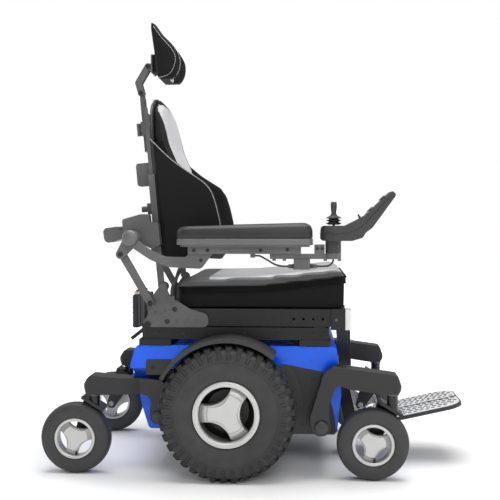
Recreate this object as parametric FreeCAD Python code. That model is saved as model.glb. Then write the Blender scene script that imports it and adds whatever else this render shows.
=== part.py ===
import FreeCAD, Part
import math
import os

# Power wheelchair with a mid-wheel drive base. Millimetres. x runs forward from the drive
# axle, y to the sitter's left, z up from the floor. Paired parts are built on the left and
# mirrored. On export everything moves back by X_MID, so the origin is under the middle.

V = FreeCAD.Vector
os.makedirs("parts", exist_ok=True)

# Driving dimensions: wheels
DRIVE_R = 178.0           # drive tyre radius
DRIVE_HALF = 48.0         # drive tyre half width
DRIVE_Y = 290.0           # drive wheel's middle plane
RIM_R = 87.0              # drive rim's outer radius
CASTER_R = 94.0
CASTER_HALF = 26.0
CASTER_RIM_R = 55.0
CASTER_TRAIL = 50.0       # how far a caster wheel trails behind its stem
CASTER_AXLE_R = 6.0
STEM_R = 10.0
REAR_STEM = (-360.0, 236.0)      # x, y of the rear swivel stems
FRONT_STEM = (427.0, 262.0)
REAR_HOUSING_Z = 213.0    # underside of each swing arm's stem housing
FRONT_HOUSING_Z = 227.0
RUNNING = 0.05            # radial clearance of every running fit

# Driving dimensions: base
REAR_PIVOT = (-192.0, 151.0)     # x, z of the rear swing arm pivots
FRONT_PIVOT = (243.0, 141.0)
ARM_PIN_R = 8.0
SHROUD_HALF = 228.0       # half width of the shroud's upper band
TUB_HALF = 188.0          # half width of its narrower rear tub
SHROUD_TOP = 341.0
SHROUD_BOTTOM = 108.0
SKIN = 4.0                # shroud wall thickness
BASE_RAIL = (208.0, 232.0)       # y of the tilt base's rails
SEAT_RAIL = (205.0, 235.0)
SEAT_RAIL_Z = (394.0, 440.0)
TILT_PIVOT = (-217.0, 397.0)

# Driving dimensions: back and arms
BACK_LEAN = 5.0           # degrees the back leans at rest
RECLINE_PIVOT = (-175.0, 498.0)
ARM_PIVOT = (-250.0, 628.0)
CRANK_OFFSET = (-31.0, -43.0)    # from each parallelogram pivot to its crank or strut pin
STRUT_FOOT = (RECLINE_PIVOT[0] + CRANK_OFFSET[0], RECLINE_PIVOT[1] + CRANK_OFFSET[1])
STRUT_HEAD = (ARM_PIVOT[0] + CRANK_OFFSET[0], ARM_PIVOT[1] + CRANK_OFFSET[1])
LINK_PIN_R = 5.0
ARM_HUB_PIN_R = 9.0
PAD_Y = (262.0, 334.0)
ARM_BAR_Y = (284.0, 298.0)
ARM_RAIL_Y = (280.0, 308.0)
ARM_RAIL_Z = (588.0, 606.0)
JOYSTICK_Y = -290.0
SWING_X = 272.0           # joystick swing-away pin
STICK_X = 273.0

# Driving dimensions: head and feet
HEAD_LOW_PIVOT = (-273.0, 1042.0)
HEAD_ELBOW = (-281.0, 1071.0)
HEAD_TOP_PIVOT = (-253.0, 1118.0)
LEG_PIVOT = (312.0, 392.0)
FOOT_HALF = 105.0         # half width of the pair of footplates
FOOT_REF_X = 479.0        # a point under the toes, where the plates' top is at FOOT_Z
FOOT_Z = 133.0
FOOT_HEEL = -130.0        # along the plates' slope from that point
FOOT_TOE = 163.0
FOOT_THICK = 10.0
FOOT_SLOPE = 13.0         # degrees of toe-up
HINGE_Y = 8.0             # footplate hinge pins, either side of the middle

REAR_END_X = REAR_STEM[0] - CASTER_TRAIL - CASTER_R
TOE_X = (FOOT_REF_X + FOOT_TOE * math.cos(math.radians(FOOT_SLOPE))
         + FOOT_THICK * math.sin(math.radians(FOOT_SLOPE)))
X_MID = (TOE_X + REAR_END_X) / 2

AXES = {"x": V(1, 0, 0), "y": V(0, 1, 0), "z": V(0, 0, 1)}


# ---- Building helpers ----

def lift(axis, a, b, level):
    """A point on the plane at level along axis; a and b are its other two coordinates."""
    if axis == "x":
        return V(level, a, b)
    if axis == "y":
        return V(a, level, b)
    return V(a, b, level)


def outline(corners, place):
    """Closed face through corners (a, b, radius), each rounded to its radius."""
    rounds = []
    count = len(corners)
    for i in range(count):
        a, b, radius = corners[i]
        here = V(a, b, 0)
        back = V(corners[i - 1][0], corners[i - 1][1], 0) - here
        ahead = V(corners[(i + 1) % count][0], corners[(i + 1) % count][1], 0) - here
        back.normalize()
        ahead.normalize()
        if radius == 0:
            rounds.append((here, here, here))
            continue
        half = back.getAngle(ahead) / 2
        reach = radius / math.tan(half)
        inward = (back + ahead).normalize()
        middle = here + inward * (radius / math.sin(half) - radius)
        rounds.append((here + back * reach, middle, here + ahead * reach))
    edges = []
    for i in range(count):
        start, middle, end = [place(p.x, p.y) for p in rounds[i]]
        following = place(rounds[(i + 1) % count][0].x, rounds[(i + 1) % count][0].y)
        if (end - start).Length > 1e-6:
            edges.append(Part.Arc(start, middle, end).toShape())
        if (following - end).Length > 1e-6:
            edges.append(Part.makeLine(end, following))
    return Part.Face(Part.Wire(edges))


def prism(corners, axis, low, high):
    """Straight solid on a rounded outline, between two levels along an axis."""
    face = outline(corners, lambda a, b: lift(axis, a, b, low))
    return face.extrude(AXES[axis] * (high - low))


def block(x0, x1, y0, y1, z0, z1):
    return Part.makeBox(x1 - x0, y1 - y0, z1 - z0, V(x0, y0, z0))


def rod(axis, centre, radius, low, high):
    """Cylinder along an axis; centre holds its other two coordinates."""
    return Part.makeCylinder(radius, high - low, lift(axis, centre[0], centre[1], low), AXES[axis])


def tube(axis, centre, outer, inner, low, high):
    return rod(axis, centre, outer, low, high).cut(rod(axis, centre, inner, low, high))


def bar(start, end, radius):
    """Cylinder from one point to another."""
    run = end - start
    return Part.makeCylinder(radius, run.Length, start, run)


def link(p, p_radius, q, q_radius, low, high):
    """Plate along y with a round end at p and another at q, both (x, z)."""
    run = V(q[0] - p[0], q[1] - p[1], 0)
    span = run.Length
    run.normalize()
    side = V(-run.y, run.x, 0)
    tilt = math.acos((p_radius - q_radius) / span)
    above = run * math.cos(tilt) + side * math.sin(tilt)
    below = run * math.cos(tilt) - side * math.sin(tilt)
    p_mid = V(p[0], p[1], 0)
    q_mid = V(q[0], q[1], 0)
    spots = [p_mid + above * p_radius, q_mid + above * q_radius, q_mid + run * q_radius,
             q_mid + below * q_radius, p_mid + below * p_radius, p_mid - run * p_radius]
    pts = [V(s.x, low, s.y) for s in spots]
    edges = [Part.makeLine(pts[0], pts[1]), Part.Arc(pts[1], pts[2], pts[3]).toShape(),
             Part.makeLine(pts[3], pts[4]), Part.Arc(pts[4], pts[5], pts[0]).toShape()]
    return Part.Face(Part.Wire(edges)).extrude(V(0, high - low, 0))


def spun(corners, y_mid, x, z):
    """Solid of revolution about the y line through (x, z); corners are (offset, radius, round)."""
    face = outline(corners, lambda a, b: V(x, y_mid + a, z + b))
    return face.revolve(V(x, y_mid, z), V(0, 1, 0), 360)


def fuse(first, *others):
    return first.multiFuse(list(others)).removeSplitter()


def mirrored(shape):
    return shape.mirror(V(0, 0, 0), V(0, 1, 0))


def pair(shape):
    return [shape, mirrored(shape)]


def save(node, *solids):
    whole = Part.makeCompound(list(solids)) if len(solids) > 1 else solids[0].copy()
    whole.translate(V(-X_MID, 0, 0))
    whole.exportStep("parts/" + node + ".step")


def save_sides(name, left):
    save(name + "_left", left)
    save(name + "_right", mirrored(left))


# ---- Drive wheels ----

def spider_windows(x, z, y0, y1, rim_inner, reach, curve, first_angle):
    """Three openings between a rim ring and its three-spoke spider."""
    windows = []
    for step in range(3):
        angle = math.radians(first_angle + 120 * step)
        centre = (x + reach * math.cos(angle), z + reach * math.sin(angle))
        windows.append(rod("y", centre, curve, y0, y1).common(rod("y", (x, z), rim_inner, y0, y1)))
    return windows


def drive_tyre():
    bead = DRIVE_HALF - 10
    half = [(bead, RIM_R, 0), (DRIVE_HALF - 1, 104, 14), (DRIVE_HALF, 150, 16), (38, DRIVE_R, 14)]
    mirror_half = [(-a, b, r) for a, b, r in reversed(half)]
    return spun(half + mirror_half, DRIVE_Y, 0, DRIVE_R)


def drive_rim(spoke_r=72.0, axle_r=12.5):
    bead = DRIVE_HALF - 10
    barrel = spun([(-bead, 79, 0), (-bead, RIM_R, 0), (bead, RIM_R, 0), (bead + 5, RIM_R - 2, 2),
                   (bead + 5, 73, 3), (bead - 12, 71, 3), (bead - 20, 79, 2)], DRIVE_Y, 0, DRIVE_R)
    centre = (0, DRIVE_R)
    disc = rod("y", centre, 80, DRIVE_Y + 12, DRIVE_Y + 26)
    for window in spider_windows(0, DRIVE_R, DRIVE_Y, DRIVE_Y + 40, spoke_r, 95.5, 61.5, 0):
        disc = disc.cut(window)
    hub = rod("y", centre, 28, DRIVE_Y + 4, DRIVE_Y + 30)
    wheel = fuse(barrel, disc, hub)
    return wheel.cut(rod("y", centre, axle_r + RUNNING, DRIVE_Y, DRIVE_Y + 20))


save_sides("drive_tyre", drive_tyre())
save_sides("drive_rim", drive_rim())


# ---- Casters: fork, tyre and rim at each corner ----

def caster_fork(stem, housing_z):
    """Swivel stem, slanted crown, one leg on the inner side and the wheel's axle."""
    x, y = stem
    hub = (x - CASTER_TRAIL, CASTER_R)
    leg_y = y - CASTER_HALF - 4
    crown = prism([(x - 34, 200, 3), (x - 31, 208.5, 3), (x + 29, 171.5, 4), (x + 25, 164, 3)],
                  "y", leg_y - 10, y + 17)
    boss = rod("z", stem, 14, 170, housing_z - 1)
    shaft = rod("z", stem, STEM_R, housing_z - 1, housing_z + 36)
    wheel_space = rod("y", hub, CASTER_R + 4.5, leg_y, y + 30)
    head = fuse(crown, boss, shaft).cut(wheel_space)
    leg = prism([(x - 33, 206, 6), (x + 24, 172, 8), (hub[0] + 15, hub[1] - 4, 8),
                 (hub[0] + 8, hub[1] - 15, 7), (hub[0] - 8, hub[1] - 15, 7),
                 (hub[0] - 15, hub[1] - 2, 8)], "y", leg_y - 10, leg_y)
    bolt = rod("y", hub, 8, leg_y - 14, leg_y - 10)
    axle = rod("y", hub, CASTER_AXLE_R, leg_y - 10, y + 10)
    collar = rod("y", hub, 11, leg_y, y - 21)
    return fuse(head, leg, bolt, axle, collar)


def caster_tyre(stem):
    half = [(CASTER_HALF - 5, CASTER_RIM_R, 0), (CASTER_HALF, 64, 8), (CASTER_HALF - 1, 80, 14),
            (CASTER_HALF - 12, CASTER_R, 12)]
    mirror_half = [(-a, b, r) for a, b, r in reversed(half)]
    return spun(half + mirror_half, stem[1], stem[0] - CASTER_TRAIL, CASTER_R)


def caster_rim(stem):
    x = stem[0] - CASTER_TRAIL
    z = CASTER_R
    y = stem[1]
    edge = CASTER_HALF - 5
    ring = spun([(-edge, 48, 0), (-edge, CASTER_RIM_R, 0), (edge, CASTER_RIM_R, 0), (edge + 3, 53, 1),
                 (edge + 3, 47, 2), (edge - 8, 45, 2), (edge - 12, 48, 0)], y, x, z)
    disc = rod("y", (x, z), 49, y + 2, y + 12)
    for window in spider_windows(x, z, y - 5, y + 20, 45.0, 75.4, 50.4, 75):
        disc = disc.cut(window)
    hub = rod("y", (x, z), 16, y - 20, y + 14)
    rim = fuse(ring, disc, hub)
    return rim.cut(rod("y", (x, z), CASTER_AXLE_R + RUNNING, y - 21, y + 11))


CORNERS = (("front", FRONT_STEM, FRONT_HOUSING_Z), ("rear", REAR_STEM, REAR_HOUSING_Z))
for corner, stem, housing_z in CORNERS:
    save_sides(corner + "_caster_fork", caster_fork(stem, housing_z))
    save_sides(corner + "_caster_tyre", caster_tyre(stem))
    save_sides(corner + "_caster_rim", caster_rim(stem))


# ---- Swing arms ----

def swing_arm(side, plan, stem, housing_z, pivot, pin_y):
    """Cast arm: its side outline cut to its plan outline, with a stem bore and a pivot bore."""
    solid = prism(side, "y", 150, 350).common(prism(plan, "z", 80, 350))
    solid = solid.cut(rod("z", stem, STEM_R + RUNNING, housing_z - 5, housing_z + 37))
    return solid.cut(rod("y", pivot, ARM_PIN_R + RUNNING, pin_y[0], pin_y[1]))


REAR_ARM_SIDE = [(-378, REAR_HOUSING_Z, 8), (-386, 238, 16), (-369, 264, 12), (-232, 253, 60),
                 (-170, 247, 20), (-170, 131, 21), (-214, 131, 21), (-208, 204, 18), (-240, REAR_HOUSING_Z, 20)]
REAR_ARM_PLAN = [(-390, 204, 16), (-390, 264, 22), (-290, 264, 50), (-232, 238, 50), (-150, 238, 0),
                 (-150, 204, 0)]
FRONT_ARM_SIDE = [(438, 277, 10), (450, 243, 22), (440, FRONT_HOUSING_Z, 8), (405, FRONT_HOUSING_Z, 20),
                  (318, 240, 30), (281, 252, 14), (262, 200, 40), (266, 119, 21), (221, 119, 21),
                  (213, 165, 40), (249, 282, 30), (274, 299, 12)]
FRONT_ARM_PLAN = [(455, 238, 20), (455, 292, 24), (300, 296, 30), (200, 296, 0), (200, 238, 0)]

save_sides("rear_swing_arm", swing_arm(REAR_ARM_SIDE, REAR_ARM_PLAN, REAR_STEM, REAR_HOUSING_Z,
                                       REAR_PIVOT, (190, 250)))
save_sides("front_swing_arm", swing_arm(FRONT_ARM_SIDE, FRONT_ARM_PLAN, FRONT_STEM, FRONT_HOUSING_Z,
                                        FRONT_PIVOT, (230, 300)))


# ---- Drive base ----

POST_X = ((-205.0, -175.0), (205.0, 235.0))
POST_Y = (140.0, 170.0)


def chassis_frame():
    rails = pair(block(-208, 262, 150, 175, 106, 150))
    tray = block(-208, 245, -150, 150, 106, 110)
    plates = pair(block(-58, 58, 175, 183, 112, 240))
    posts = []
    for x0, x1 in POST_X:
        posts += pair(block(x0, x1, POST_Y[0], POST_Y[1], 150, 343))
    pins = []
    for pivot, boss_end, pin_end, cap_r in ((REAR_PIVOT, 203, 240, 15), (FRONT_PIVOT, 236, 298, 18)):
        boss = rod("y", pivot, 17, 165, boss_end)
        pin = rod("y", pivot, ARM_PIN_R, boss_end, pin_end)
        cap = rod("y", pivot, cap_r, pin_end, pin_end + 4)
        pins += pair(fuse(boss, pin, cap))
    frame = fuse(tray, *rails, *plates, *posts, *pins)
    return frame.cut(rod("y", (0, DRIVE_R), 45, -190, 190))


def shroud_body(g):
    """Solid of the shroud's outline, drawn in by g; the rear of its lower half is narrower."""
    side = [(-250 + g, SHROUD_TOP - g, 14 - g), (-268 + g, 285, 60), (-240 + g, 165, 60),
            (-222 + g, SHROUD_BOTTOM, 12 - g), (285 - g, SHROUD_BOTTOM, 14 - g), (297 - g, 215, 80),
            (284 - g, SHROUD_TOP - g, 12 - g)]
    body = prism(side, "y", -SHROUD_HALF + g, SHROUD_HALF - g)
    for y0, y1 in ((TUB_HALF - g, 240), (-240, -TUB_HALF + g)):
        body = body.cut(block(-300, -140 + g, y0, y1, 50, 278 + g))
    return body


def body_shroud():
    shell = shroud_body(0).cut(shroud_body(SKIN))
    holes = [rod("y", (0, DRIVE_R), 60, -240, 240), rod("y", REAR_PIVOT, 21, -240, 240),
             rod("y", FRONT_PIVOT, 21, -240, 240)]
    for x0, x1 in POST_X:
        holes += pair(block(x0 - 2, x1 + 2, POST_Y[0] - 2, POST_Y[1] + 2, 330, 350))
    return shell.cut(holes)


def side_panels():
    """Dark trims on each flank, and the arched guard over each drive tyre."""
    wheel_arch = rod("y", (0, DRIVE_R), 197, 220, 240)
    rear = prism([(-224, 262, 4), (-222, 303, 4), (-140, 303, 4), (-140, 262, 4)], "y",
                 SHROUD_HALF, SHROUD_HALF + 3).cut(wheel_arch)
    front = prism([(150, 130, 4), (140, 293, 4), (246, 274, 6), (240, 236, 0), (205, 170, 0),
                   (205, 130, 4)], "y", SHROUD_HALF, SHROUD_HALF + 3)
    front = front.cut(rod("y", (0, DRIVE_R), 197, 220, 240))
    band = tube("y", (0, DRIVE_R), 195, 190, SHROUD_HALF, 326)
    lip = tube("y", (0, DRIVE_R), 195, 184, 326, 331)
    sector = prism([(0, DRIVE_R, 0), (-260, DRIVE_R + 138, 0), (-260, 500, 0), (250, 500, 0),
                    (250, DRIVE_R + 300, 0)], "y", 200, 340)
    rail_space = block(-240, 270, 200, 235, SHROUD_TOP, 400)
    guard = fuse(band, lip).common(sector).cut(rail_space)
    return pair(rear) + pair(front) + pair(guard)


def drive_motors():
    axis = (0, DRIVE_R)
    motor = rod("y", axis, 45, 42, 222)
    gearbox = rod("y", axis, 56, 183, 276)
    flange = rod("y", axis, 34, 276, 290)
    shaft = rod("y", axis, 12.5, 290, 309)
    return pair(fuse(motor, gearbox, flange, shaft))


def batteries():
    return [block(-205, -65, -120, 120, 110, 325), block(65, 205, -120, 120, 110, 325)]


def seat_base():
    """Tilt base: two rails on cross plates, tilt pivot ears and pins, front stops."""
    y0, y1 = BASE_RAIL
    rails = pair(block(-232, 264, y0, y1, 358, 391))
    plates = [block(-240, -155, -236, 236, 343, 358), block(186, 268, -236, 236, 343, 358)]
    ear = fuse(rod("y", TILT_PIVOT, 15, 216, y1), block(-232, -202, 216, y1, 370, 397))
    pin = rod("y", TILT_PIVOT, 6, y1, 241)
    cap = rod("y", TILT_PIVOT, 9, 241.5, 245)
    neck = rod("y", TILT_PIVOT, 6, 241, 241.5)
    stop = block(225, 255, y0, y1, 391, 393.5)
    handle = bar(V(-229, 224, 389 - 5), V(-262, 224, 358), 5)
    ends = pair(fuse(ear, pin, neck, cap))
    return fuse(*plates, *rails, *ends, *pair(stop), *pair(handle))


def control_module():
    """Finned case on an upright plate, with its connectors on top."""
    case = prism([(-286, 370, 4), (-286, 462, 6), (-266, 462, 4), (-266, 370, 4)], "y", -80, 80)
    plug = block(-283, -269, -60, 60, 462, 472)
    plate = block(-266, -254, -76, 76, 372, 460)
    bracket = fuse(block(-262, -225, -70, 70, 358, 362), block(-262, -256, -70, 70, 362, 372))
    return fuse(case, plug, plate, bracket)


save("chassis_frame", chassis_frame())
save("body_shroud", body_shroud())
save("side_panels", *side_panels())
save("drive_motors", *drive_motors())
save("batteries", *batteries())
save("seat_base", seat_base())
save("control_module", control_module())


# ---- Cables: straight runs joined by tangent arcs ----

def cord_tube(name, route, radius):
    """Tube along a route of points, each inner point turned by the largest arc its runs allow."""
    points = [V(*p) for p in route]
    edges = []
    start = points[0]
    radii = []
    for i in range(1, len(points) - 1):
        back = points[i - 1] - points[i]
        ahead = points[i + 1] - points[i]
        reach = 0.45 * min(back.Length, ahead.Length)
        back.normalize()
        ahead.normalize()
        half = back.getAngle(ahead) / 2
        arc_radius = reach * math.tan(half)
        radii.append(round(arc_radius, 1))
        inward = (back + ahead).normalize()
        middle = points[i] + inward * (arc_radius / math.sin(half) - arc_radius)
        edges.append(Part.makeLine(start, points[i] + back * reach))
        edges.append(Part.Arc(points[i] + back * reach, middle, points[i] + ahead * reach).toShape())
        start = points[i] + ahead * reach
    edges.append(Part.makeLine(start, points[-1]))
    path = Part.Wire(edges)
    ring = Part.Wire(Part.makeCircle(radius, points[0], points[1] - points[0]))
    solid = path.makePipeShell([ring], True, False)
    expected = math.pi * radius ** 2 * path.Length
    print(name, "arc radii", radii, "length", round(path.Length, 1), "volume ratio",
          round(solid.Volume / expected, 4))
    return solid


LOOM_CLIP_TOP = 474.0     # the loom leaves a clip on the right side plate here, straight up
LOOM_ROUTE = [(-150, -247, LOOM_CLIP_TOP), (-150, -247, 492), (-142, -253, 514), (-130, -252, 536),
              (-125, -236, 552), (-130, -215, 552), (-140, -201, 535), (-148, -196, 508),
              (-150, -195, 476), (-150, -195, SEAT_RAIL_Z[1])]
LOOM_R = 4.5
CABLE_R = 2.3
CABLE_CLIP_X = 72.0       # the cable leaves a clip under the armrest rail here
CABLE_SOCKET_Z = 582.0    # and ends in a socket under the joystick's swing seat
CABLE_REAR_ROUTE = [(CABLE_CLIP_X, -292, 583), (84, -292, 583), (102, -291, 573), (123, -290, 560),
                    (141, -290, 556), (157, -290, 556)]
CABLE_FRONT_ROUTE = [(231, -290, 556), (244, -290, 556), (258.5, -290, 556.8), (267.4, -290, 561.4),
                     (272, -290, 569.4), (272, -290, CABLE_SOCKET_Z)]


# ---- Seat ----

SEAT_FRONT_X = 306.0
CUSHION_SEAM = [(-137.0, 490.0), (90.0, 496.0), (308.0, 522.0)]
ACCESSORY_HOLES_X = [171.3 + 25.4 * step for step in range(4)]
ACCESSORY_HOLE_Z = 414.0
ACCESSORY_HOLE_R = 3.3


def seat_frame():
    y0, y1 = SEAT_RAIL
    z0, z1 = SEAT_RAIL_Z
    rail = block(-194, 269, y0, y1, z0, z1).cut(block(-200, 269 - 3, y0 + 3, y1 - 3, z0 + 3, z1 - 3))
    for x in ACCESSORY_HOLES_X:
        rail = rail.cut(rod("y", (x, ACCESSORY_HOLE_Z), ACCESSORY_HOLE_R, y1 - 5, y1 + 1))
    front = block(269, SEAT_FRONT_X, y0, 241, 386, 441)
    hinge_plate = rod("y", LEG_PIVOT, 14, 66, 80)
    lug = fuse(hinge_plate, block(262, 312, 66, 80, 400, 436))
    lug = lug.cut(rod("y", LEG_PIVOT, 8 + RUNNING, 60, 90))
    crosses = [block(x - 15, x + 15, -y0, y0, z, 430) for x, z in ((-120, 400), (60, 400), (252, 419))]
    pan = block(-160, 300, -y0, y0, 436, 440)
    ribs = [block(x - 4, x + 4, -y0, y0, 430, 436) for x in (-120, 60, 252)]
    return fuse(pan, *crosses, *ribs, *pair(fuse(rail, front)), *pair(lug))


def front_guards():
    return pair(prism([(SEAT_FRONT_X, 206, 0), (SEAT_FRONT_X, 240, 0), (322, 238, 10), (322, 208, 10)],
                      "z", 386, 441))


def side_plates():
    """Grey side plates: recline pivot on top, strut foot behind, tilt pivot at the low corner."""
    y0, y1 = SEAT_RAIL[1], SEAT_RAIL[1] + 6
    plate = prism([(-186, 498, 9), (-180, 509, 9), (-166, 507, 9), (-160, 478, 26), (-136, 460, 40),
                   (-104, 440, 30), (-58, 426, 15), (-50, 391, 15), (-226, 391, 8), (-228, 404, 9),
                   (-214, 425, 20), (-219, 455, 12), (-206, 469, 10)], "y", y0, y1)
    pin = rod("y", RECLINE_PIVOT, 8, 214, y0)
    cap = rod("y", RECLINE_PIVOT, 10, y1, y1 + 3)
    foot_pin = rod("y", STRUT_FOOT, LINK_PIN_R, y1, 258)
    foot_cap = rod("y", STRUT_FOOT, 8, 257.5, 260)
    plate = fuse(plate, pin, cap, foot_pin, foot_cap)
    left = plate.cut(rod("y", TILT_PIVOT, 6 + RUNNING, y0 - 1, y1 + 1))
    clip = block(-157, -143, -y1 - 12, -y1, LOOM_CLIP_TOP - 14, LOOM_CLIP_TOP)
    return left, fuse(mirrored(left), clip)


def cushion_base():
    seam = [(x, z, 60 if 0 < i < 2 else 4) for i, (x, z) in enumerate(CUSHION_SEAM)]
    return prism([(306, 441, 6), (-137, 441, 16)] + seam, "y", -225, 225)


def cushion_top():
    seam = [(x, z, 60 if 0 < i < 2 else 3) for i, (x, z) in enumerate(CUSHION_SEAM)]
    top = [(300, 543, 12), (60, 519, 200), (-132, 516, 14)]
    return prism(seam + top, "y", -224, 224)


save("seat_frame", seat_frame())
save("front_guards", *front_guards())
save("side_plates", *side_plates())
save("cushion_base", cushion_base())
save("cushion_top", cushion_top())


# ---- Back ----

def leaned(shape):
    """Parts of the back are drawn upright from the recline pivot, then leaned back."""
    solid = shape.copy()
    solid.translate(V(RECLINE_PIVOT[0], 0, RECLINE_PIVOT[1]))
    solid.rotate(V(RECLINE_PIVOT[0], 0, RECLINE_PIVOT[1]), V(0, 1, 0), -BACK_LEAN)
    return solid


BACK_TOP = 522.0          # height of the shell along the back, above the recline pivot
WING_SIDE = [(-2, 75, 6), (-2, 398, 4), (26, 366, 30), (82, 310, 60), (138, 268, 30), (155, 238, 24),
             (164, 195, 60), (170, 150, 24), (150, 95, 40), (88, 70, 40)]


def back_frame():
    """Side canes from the recline pivots, cross bars, and the headrest's clamp."""
    foot = rod("y", (0, 0), 13, 215, 227)
    cane = block(-15, 1.5, 215, 227, 0, 300)
    tall = block(-14, -4, 200, 212, 60, 478)
    joint = block(-14, -4, 200, 227, 150, 300)
    side = fuse(foot, cane, tall, joint).cut(rod("y", (0, 0), 8 + RUNNING, 210, 230))
    bars = [block(-14, -4, -200, 200, s, s + 24) for s in (96, 250, 440)]
    clamp = fuse(block(-58, -14, -24, 24, 426, 466), rod("x", (0, 446), 4, -64, -58),
                 rod("z", (-68, 0), 6, 428, 464))
    slot = block(-55, -41, -17.1, 17.1, 420, 470)
    lateral = prism([(-52, 272, 8), (-52, 334, 8), (-14, 334, 2), (-14, 272, 2)], "y", 160, 190)
    knob = fuse(block(-32, -14, 168, 186, 195, 225), rod("x", (177, 210), 8, -48, -32))
    lateral_arm = block(-14, -4, 160, 200, 272, 334)
    knob_arm = block(-14, -4, 168, 200, 195, 225)
    frame = fuse(*bars, clamp, *pair(fuse(side, lateral, lateral_arm, knob, knob_arm)))
    return leaned(frame.cut(slot))


def shrunk_wing(depth, spare):
    """Outline of the shell's side wall, or with spare room below, its pocket in the padded wing."""
    return [(a * depth, 3 + b * 0.985 - (spare if b < 120 else 0), r) for a, b, r in WING_SIDE]


def back_shell():
    half = [(214, 300, 60), (200, 410, 90), (164, 486, 70), (64, BACK_TOP, 150)]
    face = [(-212, 74, 20)] + [(-y, s, r) for y, s, r in half]
    face += [(y, s, r) for y, s, r in reversed(half)] + [(212, 74, 20)]
    panel = prism(face, "x", -4, 2)
    walls = pair(prism(shrunk_wing(0.93, 0), "y", 210, 214))
    return leaned(fuse(panel, *walls))


def back_cushion():
    """Padded centre with a lumbar bulge, and the padded side wings."""
    centre = prism([(2, 78, 10), (2, 524, 6), (12, 526, 8), (22, 474, 60), (33, 382, 120), (54, 320, 80),
                    (62, 200, 120), (56, 90, 20)], "y", -188, 188)
    half = [(188, 390, 60), (160, 478, 60), (60, 524, 150)]
    front = [(-188, 78, 20)] + [(-y, s, r) for y, s, r in half]
    front += [(y, s, r) for y, s, r in reversed(half)] + [(188, 78, 20)]
    centre = centre.common(prism(front, "x", 0, 80))
    wing = prism([(max(a, 2), b, r) for a, b, r in WING_SIDE], "y", 190, 228)
    wing = wing.cut(prism(shrunk_wing(0.95, 2), "y", 209.5, 214.5))
    return [leaned(s) for s in [centre] + pair(wing)]


def arm_receivers():
    """Blocks on the canes that carry the armrest pivots, and the recline housing behind them."""
    block_side = [(-277, 641, 8), (-279, 676, 6), (-230, 690, 6), (-208, 690, 6), (-206, 668, 4),
                  (-184, 668, 8), (-178, 608, 8), (-204, 600, 10)]
    body = prism(block_side, "y", 230, 262)
    pin = rod("y", ARM_PIVOT, ARM_HUB_PIN_R, 262, 306)
    cap = rod("y", ARM_PIVOT, 13, 306.5, 309)
    neck = rod("y", ARM_PIVOT, ARM_HUB_PIN_R, 306, 306.5)
    tie = block(-206, -192, 227, 230, 612, 664)
    housing = prism([(-345, 652, 12), (-296, 658, 8), (-306, 617, 12), (-339, 612, 12)], "y", 100, 200)
    neck_plate = prism([(-310, 622, 4), (-310, 648, 4), (-193, 656, 4), (-193, 630, 4)], "y", 190, 200)
    return fuse(body, pin, neck, cap, tie), fuse(housing, neck_plate)


receiver, housing = arm_receivers()
save("back_frame", back_frame(), *pair(receiver), *pair(housing))
save("back_shell", back_shell())
save("back_cushion", *back_cushion())


# ---- Headrest ----

def leaned_post():
    """Post through the back's clamp, up to the headrest link's lower pivot."""
    lean = math.radians(BACK_LEAN)
    rise = HEAD_LOW_PIVOT[1] - RECLINE_PIVOT[1]
    run = HEAD_LOW_PIVOT[0] - RECLINE_PIVOT[0]
    top = rise * math.cos(lean) - run * math.sin(lean)
    post = leaned(block(-54, -42, -17, 17, 380, top))
    eye = rod("y", HEAD_LOW_PIVOT, 10, -9, 9)
    pin = rod("y", HEAD_LOW_PIVOT, 4, -16, 16)
    cheeks = pair(block(-320, -240, 9, 18, HEAD_LOW_PIVOT[1] - 14, HEAD_LOW_PIVOT[1] + 20))
    return fuse(post.cut(cheeks), eye, pin)


def headrest_link():
    cheeks = []
    for low, high in ((9.5, 14.5), (-14.5, -9.5)):
        cheek = fuse(link(HEAD_LOW_PIVOT, 9, HEAD_ELBOW, 9, low, high),
                     link(HEAD_ELBOW, 9, HEAD_TOP_PIVOT, 9, low, high))
        cheeks.append(cheek.cut(rod("y", HEAD_LOW_PIVOT, 4 + RUNNING, -20, 20)))
    spacer = rod("y", HEAD_ELBOW, 7, -9.5, 9.5)
    pin = rod("y", HEAD_TOP_PIVOT, 4, -14.5, 14.5)
    return fuse(spacer, *cheeks, pin)


def headrest_bracket():
    eye = rod("y", HEAD_TOP_PIVOT, 10, -9, 9)
    neck = block(-250, -238, -9, 9, 1109, 1127)
    plate = prism([(-38, 1096, 8), (38, 1096, 8), (38, 1150, 8), (-38, 1150, 8)], "x", -240, -236)
    return fuse(eye, neck, plate).cut(rod("y", HEAD_TOP_PIVOT, 4 + RUNNING, -20, 20))


def headrest_pad():
    """Pad that leans back, hollowed between two wings, on a hard boss for its bracket."""
    half = [(-240, 66, 10), (-164, 67, 8), (-151, 58, 8), (-151, 46, 8), (-184, 26, 4)]
    plan = half + [(a, -b, r) for a, b, r in reversed(half)]
    side = [(-238, 1236, 4), (-228, 1234, 6), (-206, 1202, 30), (-172, 1168, 30), (-150, 1132, 20),
            (-149, 1106, 20), (-166, 1074, 16), (-217, 1074, 6)]
    pad = prism(plan, "z", 1050, 1260).common(prism(side, "y", -150, 150))
    return fuse(pad, block(-236, -212, -34, 34, 1098, 1148))


save("headrest_post", leaned_post())
save("headrest_link", headrest_link())
save("headrest_bracket", headrest_bracket())
save("headrest_pad", headrest_pad())


# ---- Arms: crank, strut, armrest bar and pad on each side ----

def arm_crank():
    plate = link(ARM_PIVOT, 20, STRUT_HEAD, 12, 264, 276)
    pin = rod("y", STRUT_HEAD, LINK_PIN_R, 244, 264)
    return fuse(plate, pin).cut(rod("y", ARM_PIVOT, ARM_HUB_PIN_R + RUNNING, 260, 280))


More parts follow.
